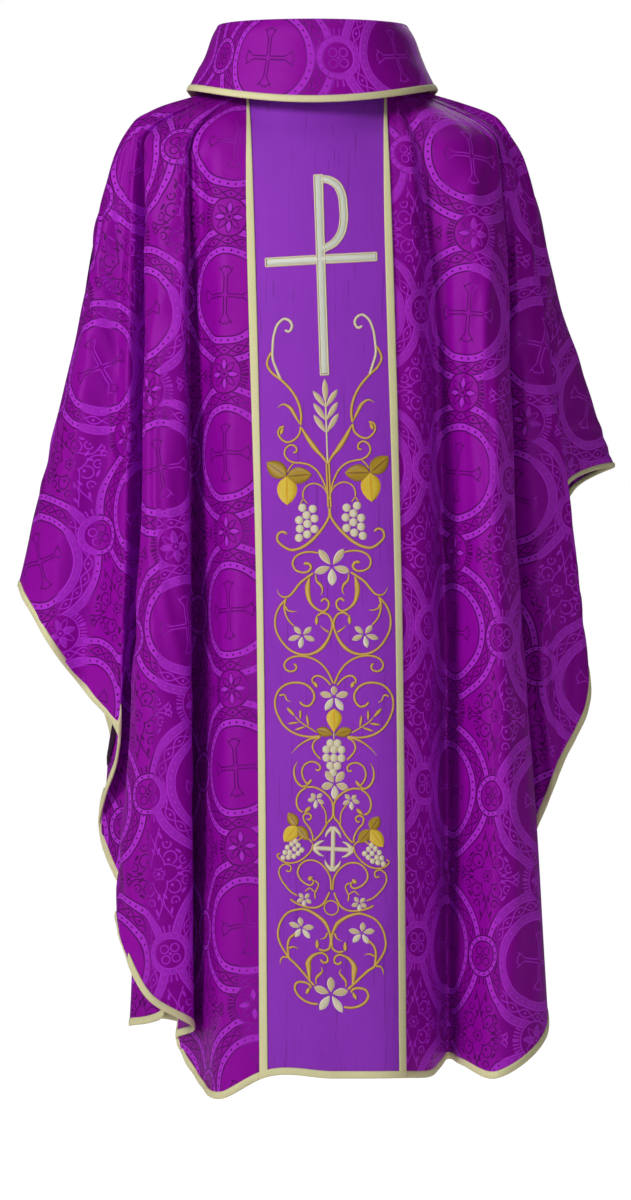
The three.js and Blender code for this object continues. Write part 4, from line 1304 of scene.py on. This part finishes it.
GOLD_MIDDLE = [
    ([(21.8, -578), (29, -583), (37.7, -590), (45, -599.5), (51, -605.5), (58.4, -606), (63, -602),
        (65.3, -596.5)], [3.2, 3.2, 3.2, 2.6, 0.6]),
    ([(26.5, -583), (29, -595), (28.5, -605), (24.5, -616), (18, -622), (11, -624.5), (5, -619), (5.5, -612),
        (10, -609.5), (14, -613)], [2, 6.6, 6, 4, 3, 3, 3, 3]),
    ([(19.5, -579), (18.5, -587.5), (13.3, -593.5), (11.8, -599), (14, -605.5)], [1.4, 2.6, 3.9, 2.4, 0.6]),
    ([(53.5, -608), (63, -619), (68, -633), (67, -647), (60.5, -660), (51, -670.5), (39.5, -676), (27, -676),
        (16, -670.5), (8.5, -662), (3.5, -652), (0.9, -642), (2, -634), (6.5, -628), (13, -626.5),
        (18.5, -630)], [2.8, 3, 3, 3, 3, 3.4, 4.8, 3.2, 3, 3]),
    ([(5, -650), (11, -646), (15.8, -641.5)], [3.6, 2, 0.5]),
    ([(55, -609), (56.5, -620), (54.5, -629), (50, -637), (45, -642)], [3.4, 2.8, 2.5, 2.2]),
    ([(56, -617), (53, -622), (49, -623.8), (41, -624)], [4, 2.6, 1.8, 0.6]),
    ([(0.5, -712), (6, -699.5), (14, -688.5), (24.5, -681.5), (35.5, -678.5), (46, -679), (54.5, -683), (58, -689),
        (55.5, -695), (49.5, -697), (44.5, -694.5), (44, -690), (47, -687.5)], 2.8),
    ([(3.5, -714), (9.5, -707), (15.5, -703), (21.5, -702.5), (25.5, -706.5), (24.5, -712)], 2.7),
    ([(15.5, -775), (30, -776), (45.5, -772.5), (57.5, -764.5), (65, -753.5), (69.5, -741), (69.5, -729.5),
        (65, -720), (56.5, -713), (45.5, -710.5), (35, -712), (27, -718), (23.5, -725.5), (25, -733.5),
        (30.5, -739), (36, -738), (40.5, -733.5)], 3.0),
    ([(64.8, -726.5), (58.8, -725.3), (55.2, -731.8), (50.5, -734.2)], [3.2, 2.2, 2, 0.6]),
    ([(20.5, -770.7), (32.4, -763), (42, -756), (45.6, -751.6)], 2.0),
    ([(15.7, -775.5), (30, -779.7), (42, -788), (50.4, -797)], [3, 3, 2, 0.5]),
    ([(15.7, -776), (22.8, -781), (25.2, -788), (21.7, -796.4), (15.5, -803)], 2.6),
]
GOLD_LOWER = [
    ([(42.5, -805.7), (46.5, -815.3), (46.4, -823.6), (42.8, -832), (36.2, -836.6),
        (30.9, -835)], [0.6, 2.4, 3, 3, 3]),
    ([(30.9, -833.8), (35.6, -827.2), (37.4, -818.9), (34.5, -810.5), (27.4, -806.3), (20.2, -807.5), (16, -812.3),
        (17.8, -816.5), (21.9, -815.3)], 2.6),
    ([(32, -837.4), (24.9, -836.8), (15.3, -839.8), (6.8, -846.4), (1.3, -854.7), (0.4, -863.1), (1, -871.5),
        (7.5, -880), (9.9, -884.6), (15.8, -894.2), (23, -902)], 2.8),
    ([(32, -837.4), (39, -842.8), (43.3, -851.2), (43.2, -859.5), (40.2, -865.5), (35.3, -868)], 2.8),
    ([(15.1, -857), (10.3, -864.3), (8.5, -871.5), (9, -880)], 2.2),
    ([(24, -902), (24.5, -895.4), (28.6, -885.8), (34.6, -877.5), (35.1, -871.5), (31, -869), (26.2, -872),
        (28, -876.3), (31.6, -875.7)], 2.6),
    ([(24, -905), (28.9, -900.2), (36, -898.4), (42, -902.6)], 2.4),
    ([(24, -905), (25.4, -912.2), (31.3, -920.5), (38.4, -926.5), (46.8, -930), (56.3, -930), (63.4, -926.5),
        (66.3, -921.7), (62.7, -919.3)], 2.4),
    ([(0.8, -960), (3, -943.2), (9, -933.7), (17.3, -927), (25.7, -925.3), (34, -927.7), (40, -935), (41.3, -942),
        (37.7, -949.2), (31.7, -954), (25.7, -955.8), (22.1, -952.8), (23.3, -948)], 2.6),
    ([(20.9, -949.2), (16.1, -954), (17.9, -960), (20, -965), (19.5, -972)], 2.2),
    ([(20.3, -963.6), (26.3, -959.4), (32.3, -963.6)], 2.0),
    ([(55.6, -939.6), (50.8, -940.8), (49.6, -935), (55.6, -932), (62, -936), (63.8, -943.2), (61.3, -950.4),
        (55.2, -958.8), (47.8, -966), (40.5, -969.6)], 2.4),
    ([(2.6, -962), (5.8, -969.4), (11, -978), (18.4, -982.2), (26.8, -982.7), (36.4, -980.6), (43.7, -978),
        (49.5, -974.2)], 2.8),
    ([(50.8, -1046), (55.2, -1039.7), (61.1, -1030), (63.9, -1020.5), (62.9, -1010), (58.6, -999.2),
        (51.2, -990.7), (41.6, -986.7), (34.2, -985.2), (24.6, -987.5), (15, -992.8), (7.5, -999.2),
        (3.1, -1007.7), (0.8, -1015.2), (0.8, -1023.7), (2.4, -1030), (9.3, -1033.3),
        (15.1, -1031.7)], [3, 3, 3, 3, 3, 3, 4, 5, 3.2, 3, 3]),
    ([(4.2, -1011), (7.3, -1017.3), (13.7, -1020)], [3.4, 2, 0.5]),
    ([(19.7, -1077), (26, -1070.6), (35.6, -1060), (44.2, -1051.4), (50.6, -1046), (51.7, -1038.6),
        (52.2, -1031.2), (50, -1022.7), (42.6, -1015.7)], 3.2),
    ([(51.7, -1046), (58, -1046), (60.7, -1050.3), (61.2, -1055.7)], [3.2, 2.6, 2, 0.5]),
    ([(51.1, -1034.4), (45.3, -1032.2), (38.3, -1033.8)], [3.4, 2.2, 0.5]),
    ([(25.5, -1071.6), (26.3, -1064), (26.8, -1057.8), (27.3, -1049.3), (23, -1041.8), (16.6, -1037.6),
        (9.2, -1036.5), (4.4, -1040.8), (4.4, -1046), (9.1, -1047.7), (12.9, -1044)], [2, 5, 7.4, 5, 3, 3, 3, 3]),
    ([(17.7, -1074.8), (17.7, -1067.4), (13.4, -1062), (10.2, -1057.8), (12.2, -1053)], [1.5, 2.6, 3.8, 2.4, 0.6]),
    ([(15.2, -1098.3), (23.8, -1098.3), (33.4, -1095), (40.8, -1088.7), (43.5, -1081.2), (40.8, -1075.4),
        (33.4, -1073.8), (26, -1076), (23.3, -1080.2)], 3.2),
]
# Small pointed shapes in gold: root, tip and half width.
BUDS_UPPER = [((51.5, -399.5), (54.5, -409), 2.4), ((50, -459), (50, -466), 2.0)]
BUDS_MIDDLE = [
    ((19, -629), (19.5, -641), 2.4), ((23.5, -709), (20, -716.5), 2.6), ((45.6, -751.6), (55.7, -740.8), 2.2),
    ((39.6, -755.8), (39.6, -743.2), 1.7), ((30, -764), (32.2, -749.2), 1.7), ((40.8, -758.8), (54.5, -760.6), 1.6),
    ((32.4, -763.5), (46.2, -768.3), 1.6),
]
BUDS_LOWER = [
    ((32, -835.6), (25.5, -827.2), 2.1), ((34.5, -868.5), (27, -860.7), 2.6), ((23.5, -945), (28.5, -950), 3.0),
    ((16.8, -1020), (16.6, -1032), 2.5), ((25.5, -1079), (30, -1088), 2.4),
]
# Trefoils: middle, then each lobe's tip, half width and kind of gold.
TREFOIL_UPPER = ((49, -460), [((73, -441.5), 10.5, "olive"), ((19.5, -459), 10.5, "olive"), ((49.5, -495),
    12, "bright")])
TREFOIL_LOWER = ((43, -885), [((53.5, -869), 7, "olive"), ((58.5, -905), 8.5, "bright"), ((29.5, -901.5),
    7, "olive")])
# Flowers: middle, half widths of the tan and the white petals, tips of each, and whether it is given again mirrored.
FLOWERS = [
    ((0, -570.7), (4.5, 5.3), [(15, 21), (-15, 21), (21, -7), (-21, -7)], [(0, -23.3)], False),
    ((0, -727), (4, 4), [(0, 12.6), (17, 3.6), (-17, 3.6)], [(10.7, -17), (-10.7, -17)], False),
    ((1.4, -832), (4.5, 4.5), [(-11, 15), (11, 15), (-16, -5), (16, -5)], [(0, -19.1)], False),
    ((0, -1084.4), (4.6, 4.6), [(0, 20.8), (20.5, 6), (-20.5, 6)], [(13.8, -21), (-13.8, -21)], False),
    ((36.3, -653), (3.2, 3.2), [(9.3, 10.8), (-11.0, 9.8), (16.5, -5.4), (-14.6, -6.6)], [(2.8, -16.1)], True),
    ((20.6, -851), (2.7, 2.7), [(-7, 6.6), (6, 6.6), (-9.6, -5.4), (10.2, -2.4)], [(1, -12)], True),
    ((32.6, -973), (2.6, 2.6), [(-6, 7), (6.5, 6.5), (-9, -4), (9, -4)], [(0.5, -10)], True),
    ((35.8, -1008), (3.3, 3.3), [(1.6, 12.8), (15, 4.3), (-15.4, 2.1)], [(7.5, -12.2), (-10.5, -12.2)], True),
]


def thorny(table):
    """Scrolls from a table of lines and widths, on both sides."""
    return both([ribbon(points, width, 1.2) for points, width in table])


def bunch(x, z, places, radius):
    """Grapes at places given from a bunch's middle."""
    return [dome(x + dx, z + dz, radius) for dx, dz in places]


UPPER_GRAPES = [
    (0.3, 9.3), (-11.7, 7.4), (-4.2, 0.2), (4.5, -5.5), (-13.3, -4.3), (-4.8, -10.4), (4, -16), (-12.8, -17),
    (-4.2, -23), (5.5, -27),
]
MIDDLE_GRAPES = [
    (-4.2, 16.7), (4.2, 16.7), (-9, 9), (0, 9), (9, 9), (-9, -1), (0, -1), (9, -1), (-4.3, -10.3), (4.3, -10.3),
    (-0.7, -18.3),
]
LOWER_GRAPES = [
    (-4.2, 11.5), (0.2, 7.6), (-7.6, 6.7), (5.2, 3.4), (-3.4, 2), (-12, 1.3), (8.2, -3), (2.3, -2.5), (-7.6, -3),
    (10.3, -9.7), (3.8, -8.5), (-2.6, -7),
]


def small_cross():
    """A cross whose four ends each turn back in two flukes."""
    shapes = [ribbon([(0, -884), (0, -936.5)], 5.4, 1.3), ribbon([(-23, -910.3), (23, -910.3)], 5.4, 1.3)]
    for reach, turn in ((26.5, 0), (26.5, 180), (23.5, 90), (23.5, 270)):
        c, s = math.cos(math.radians(turn)), math.sin(math.radians(turn))
        for side in (-1, 1):
            hook = [(0, reach), (side * 3.4, reach - 3.2), (side * 7.2, reach - 7.4), (side * 9.4, reach - 13)]
            hook = [(x * c + z * s, -910.3 - x * s + z * c) for x, z in hook]
            shapes.append(ribbon(hook, [5.6, 4.6, 3.4, 1.0], 1.3))
    return shapes


class CHASUBLE_OT_embroidery(bpy.types.Operator):
    """Stitches the crosses, wheat ears, vines, flowers, leaves and grapes on the orphreys"""

    bl_idname = "chasuble.embroidery"
    bl_label = "Embroidery"

    def execute(self, context):
        drape, _, colours = state()
        gold, cream = rgba(colours.gold), rgba(colours.cream)
        brown = (0.30, 0.15, 0.012, 1.0)
        # Painted highlight along the crest of the bright leaves.
        bright_crest_highlight = (0.94, 0.74, 0.08, 1.0)
        # Body, edge and crest of each thread; a leaf's also has how metallic it is and the colour of its vein. The
        # crest is a painted highlight;
        # the edge is painted shade, on gold and olive partly a real brown outline too, and on the petal and white
        # threads their real pale outline.
        threads = {
            "gold": (gold, brown, (0.93, 0.66, 0.20, 1.0)),
            "olive": ((0.50, 0.29, 0.003, 1.0), brown, (0.66, 0.42, 0.006, 1.0), 0.0, brown),
            "bright": ((0.86, 0.62, 0.03, 1.0), gold, bright_crest_highlight, 0.0, gold),
            "cream": (cream, (0.62, 0.46, 0.18, 1.0), (0.98, 0.92, 0.72, 1.0)),
            "petal": ((0.66, 0.48, 0.21, 1.0), (1.0, 0.93, 0.72, 1.0), (0.72, 0.55, 0.27, 1.0)),
            "white": ((0.80, 0.70, 0.46, 1.0), (1.0, 0.97, 0.86, 1.0), (0.88, 0.78, 0.55, 1.0)),
            "grape": ((0.90, 0.80, 0.54, 1.0), (0.72, 0.58, 0.30, 1.0), (0.96, 0.90, 0.70, 1.0)),
            "silver": (rgba(colours.silver), (0.80, 0.74, 0.52, 1.0), shade(colours.silver, 1.15), 0.1),
        }
        thread = {}
        for key, looks in threads.items():
            thread[key] = made(key + "_thread", lambda: thread_material(key + "_thread", *looks))

        def stitch(name, ground, shapes, key, *nodes):
            kind = {"silver": "silver", "gold": "gold", "olive": "gold", "bright": "gold"}.get(key, "cream")
            return stitched(name, ground, shapes, thread[key], kind + "_thread", *nodes)

        for which, middle in (("back", drape.back), ("front", drape.front)):
            ground = Ground(drape, middle, which == "back")
            fill, edge = cross_with_bow()
            stitch(which + "_cross_filling", ground, fill, "silver", which + "_cross_with_bow")
            stitch(which + "_cross_edge", ground, edge, "cream")
            grains, stem = wheat_ear()
            stitch(which + "_wheat_grains", ground, grains, "petal", which + "_wheat_ear")
            stitch(which + "_wheat_stem", ground, stem, "cream")
            stitch(which + "_anchored_cross", ground, small_cross(), "cream", which + "_small_cross")

        ground = Ground(drape, drape.back, True)
        buds = lambda table: both([petal(root, tip, half, 1.3) for root, tip, half in table])
        stitch("back_upper_scrolls", ground, thorny(GOLD_UPPER) + buds(BUDS_UPPER), "gold", "back_upper_vine")
        stitch("back_upper_tendrils", ground, thorny(CREAM_UPPER), "cream")
        stitch("back_middle_scrolls", ground, thorny(GOLD_MIDDLE) + buds(BUDS_MIDDLE), "gold", "back_middle_vine")
        ring = [(8.5 * math.sin(a), -981 + 8.5 * math.cos(a)) for a in np.linspace(0.1, TURN + 0.1, 17)]
        lower = thorny(GOLD_LOWER) + buds(BUDS_LOWER) + [ribbon(ring, 2.0, 1.1, ends=(False, False))]
        stitch("back_lower_scrolls", ground, lower, "gold", "back_lower_vine")

        lobes = {"olive": [], "bright": []}
        for middle, tips in (TREFOIL_UPPER, TREFOIL_LOWER):
            for tip, half, kind in tips:
                lobes[kind].append(petal(middle, tip, half, 1.5, 0.45))
        side_leaves = [petal((1, -773), (21, -767), 6.2, 1.5)]
        bud = petal((0, -771), (0, -741.5), 9.3, 1.7, 0.62)
        stitch(
            "back_leaves_dark", ground, both(lobes["olive"] + side_leaves), "olive",
            "back_leaf_upper_left", "back_leaf_upper_right", "back_leaf_lower_left", "back_leaf_lower_right",
        )
        stitch("back_leaves_bright", ground, both(lobes["bright"]) + [bud], "bright")

        tan, white = [], []
        for middle, halves, tan_tips, white_tips, paired in FLOWERS:
            for shapes, half, tips in ((tan, halves[0], tan_tips), (white, halves[1], white_tips)):
                petals = flower(*middle, tips, half)
                shapes += both(petals) if paired else petals
        nodes = ["upper", "side_left", "side_right", "foot", "foot_left", "foot_right"]
        stitch("back_petals", ground, tan, "petal", *["back_flower_" + n for n in nodes])
        stitch("back_petals_white", ground, white, "white")

        fruit = both(bunch(31.8, -508, UPPER_GRAPES, 5.0)) + bunch(0, -800, MIDDLE_GRAPES, 4.9)
        fruit += both(bunch(49, -915, LOWER_GRAPES, 3.3))
        nodes = ["upper_left", "upper_right", "middle", "lower_left", "lower_right"]
        stitch("back_grapes", ground, fruit, "grape", *["back_grapes_" + n for n in nodes])
        veins = [ribbon([(0, -743), (0, -779)], 1.6, 2.2)]
        veins += both([ribbon([(1.5, -774), (7, -769), (15, -768)], 1.3, 2.0)])
        veins += both([ribbon([(43, -885), (54, -900)], 1.0, 1.9), ribbon([(43, -885), (34, -897)], 1.0, 1.9)])
        stitch("back_veins", ground, veins, "cream")
        return {"FINISHED"}


# ---------------------------------------------------------------------------------------------------------------
# Stage, panel and main


class CHASUBLE_OT_stage(bpy.types.Operator):
    """Sets up the pale floor, the soft lights and the camera that looks at the wearer's back"""

    bl_idname = "chasuble.stage"
    bl_label = "Stage"

    def execute(self, context):
        _, sizes, colours = state()
        scene = context.scene
        clear_below, reach = 0.16, 14
        side = np.linspace(-reach, reach, 9)
        level = float(CAD_BOX[0][2]) - clear_below
        points = np.stack(np.broadcast_arrays(side[:, None], side[None, :], level), axis=-1)
        floor = mesh_object("pale_floor", points, grid_faces(len(side), len(side)))
        s = Shader("pale_paper")
        grain = s.noise(3.0, detail=2.0)
        tone = s.mix(grain, shade(colours.stage, 0.99), shade(colours.stage, 1.02))
        seen = Value(s.tree, s.node("ShaderNodeLightPath").outputs["Is Camera Ray"])
        white = (1.0, 1.0, 1.0, 1.0)
        glow = seen * 0.85 + 0.1
        floor.data.materials.append(s.put(Base_Color=tone, Roughness=0.9, Emission_Color=white, Emission_Strength=glow))

        world = bpy.data.worlds.new("studio")
        world.use_nodes = True
        nodes, links = world.node_tree.nodes, world.node_tree.links
        nodes["Background"].inputs[0].default_value = white
        # White to the camera, and a faint light on everything else.
        seen, strength = nodes.new("ShaderNodeLightPath"), nodes.new("ShaderNodeMath")
        strength.operation = "MULTIPLY_ADD"
        strength.inputs[1].default_value, strength.inputs[2].default_value = 0.95, 0.05
        links.new(seen.outputs["Is Camera Ray"], strength.inputs[0])
        links.new(strength.outputs[0], nodes["Background"].inputs[1])
        scene.world = world
        lamps = {
            "key": ((-2.7, -2.6, 1.3), 1.2, 86),
            "fill": ((0.7, -3.7, 0.2), 1.6, 11),
            "low": ((0.2, -3.4, -1.1), 1.6, 4),
            "top": ((0.0, -0.6, 2.6), 1.6, 10),
            "front": ((0.6, 2.6, 1.2), 1.6, 14),
        }
        for name, (place, size, power) in lamps.items():
            lamp = bpy.data.lights.new(name + "_lamp", "AREA")
            lamp.shape, lamp.size, lamp.energy = "DISK", size, power
            obj = bpy.data.objects.new(name + "_lamp", lamp)
            obj.location = place
            aim = np.array([0, 0, -0.5]) - place
            obj.rotation_euler = (
                math.atan2(math.hypot(aim[0], aim[1]), -aim[2]), 0, math.atan2(aim[1], aim[0]) - math.pi / 2
            )
            bpy.context.collection.objects.link(obj)

        camera = bpy.data.cameras.new("camera")
        camera.sensor_fit, camera.sensor_height = "VERTICAL", 24.0
        camera.lens = 24.0 * (sizes.camera_distance - 0.12) / 1.452
        camera.clip_end = 60
        view = bpy.data.objects.new("camera", camera)
        view.location = (-0.001, -sizes.camera_distance, -0.611)
        view.rotation_euler = (math.pi / 2, 0, 0)
        bpy.context.collection.objects.link(view)
        scene.camera = view
        scene.view_settings.view_transform = "Standard"
        return {"FINISHED"}


class CHASUBLE_PT_panel(bpy.types.Panel):
    bl_idname = "CHASUBLE_PT_panel"
    bl_label = "Chasuble"
    bl_space_type = "VIEW_3D"
    bl_region_type = "UI"
    bl_category = "Chasuble"

    def draw(self, context):
        for label, owner in (("Sizes", context.scene.chasuble_sizes), ("Colours", context.scene.chasuble_colours)):
            box = self.layout.box()
            box.label(text=label)
            for name in owner.__annotations__:
                box.prop(owner, name)
        for operator in OPERATORS:
            self.layout.operator(operator.bl_idname)


OPERATORS = (
    CHASUBLE_OT_quarters, CHASUBLE_OT_orphreys, CHASUBLE_OT_hem, CHASUBLE_OT_collar, CHASUBLE_OT_embroidery,
    CHASUBLE_OT_stage,
)
CLASSES = (ChasubleSizes, ChasubleColours, *OPERATORS, CHASUBLE_PT_panel)


def register():
    for cls in CLASSES:
        bpy.utils.register_class(cls)
    bpy.types.Scene.chasuble_sizes = bpy.props.PointerProperty(type=ChasubleSizes)
    bpy.types.Scene.chasuble_colours = bpy.props.PointerProperty(type=ChasubleColours)


def unregister():
    del bpy.types.Scene.chasuble_colours
    del bpy.types.Scene.chasuble_sizes
    for cls in reversed(CLASSES):
        bpy.utils.unregister_class(cls)


def main():
    register()
    for build in ("quarters", "orphreys", "hem", "collar", "embroidery", "stage"):
        getattr(bpy.ops.chasuble, build)()
    bpy.context.view_layer.update()


if __name__ == "__main__":
    main()
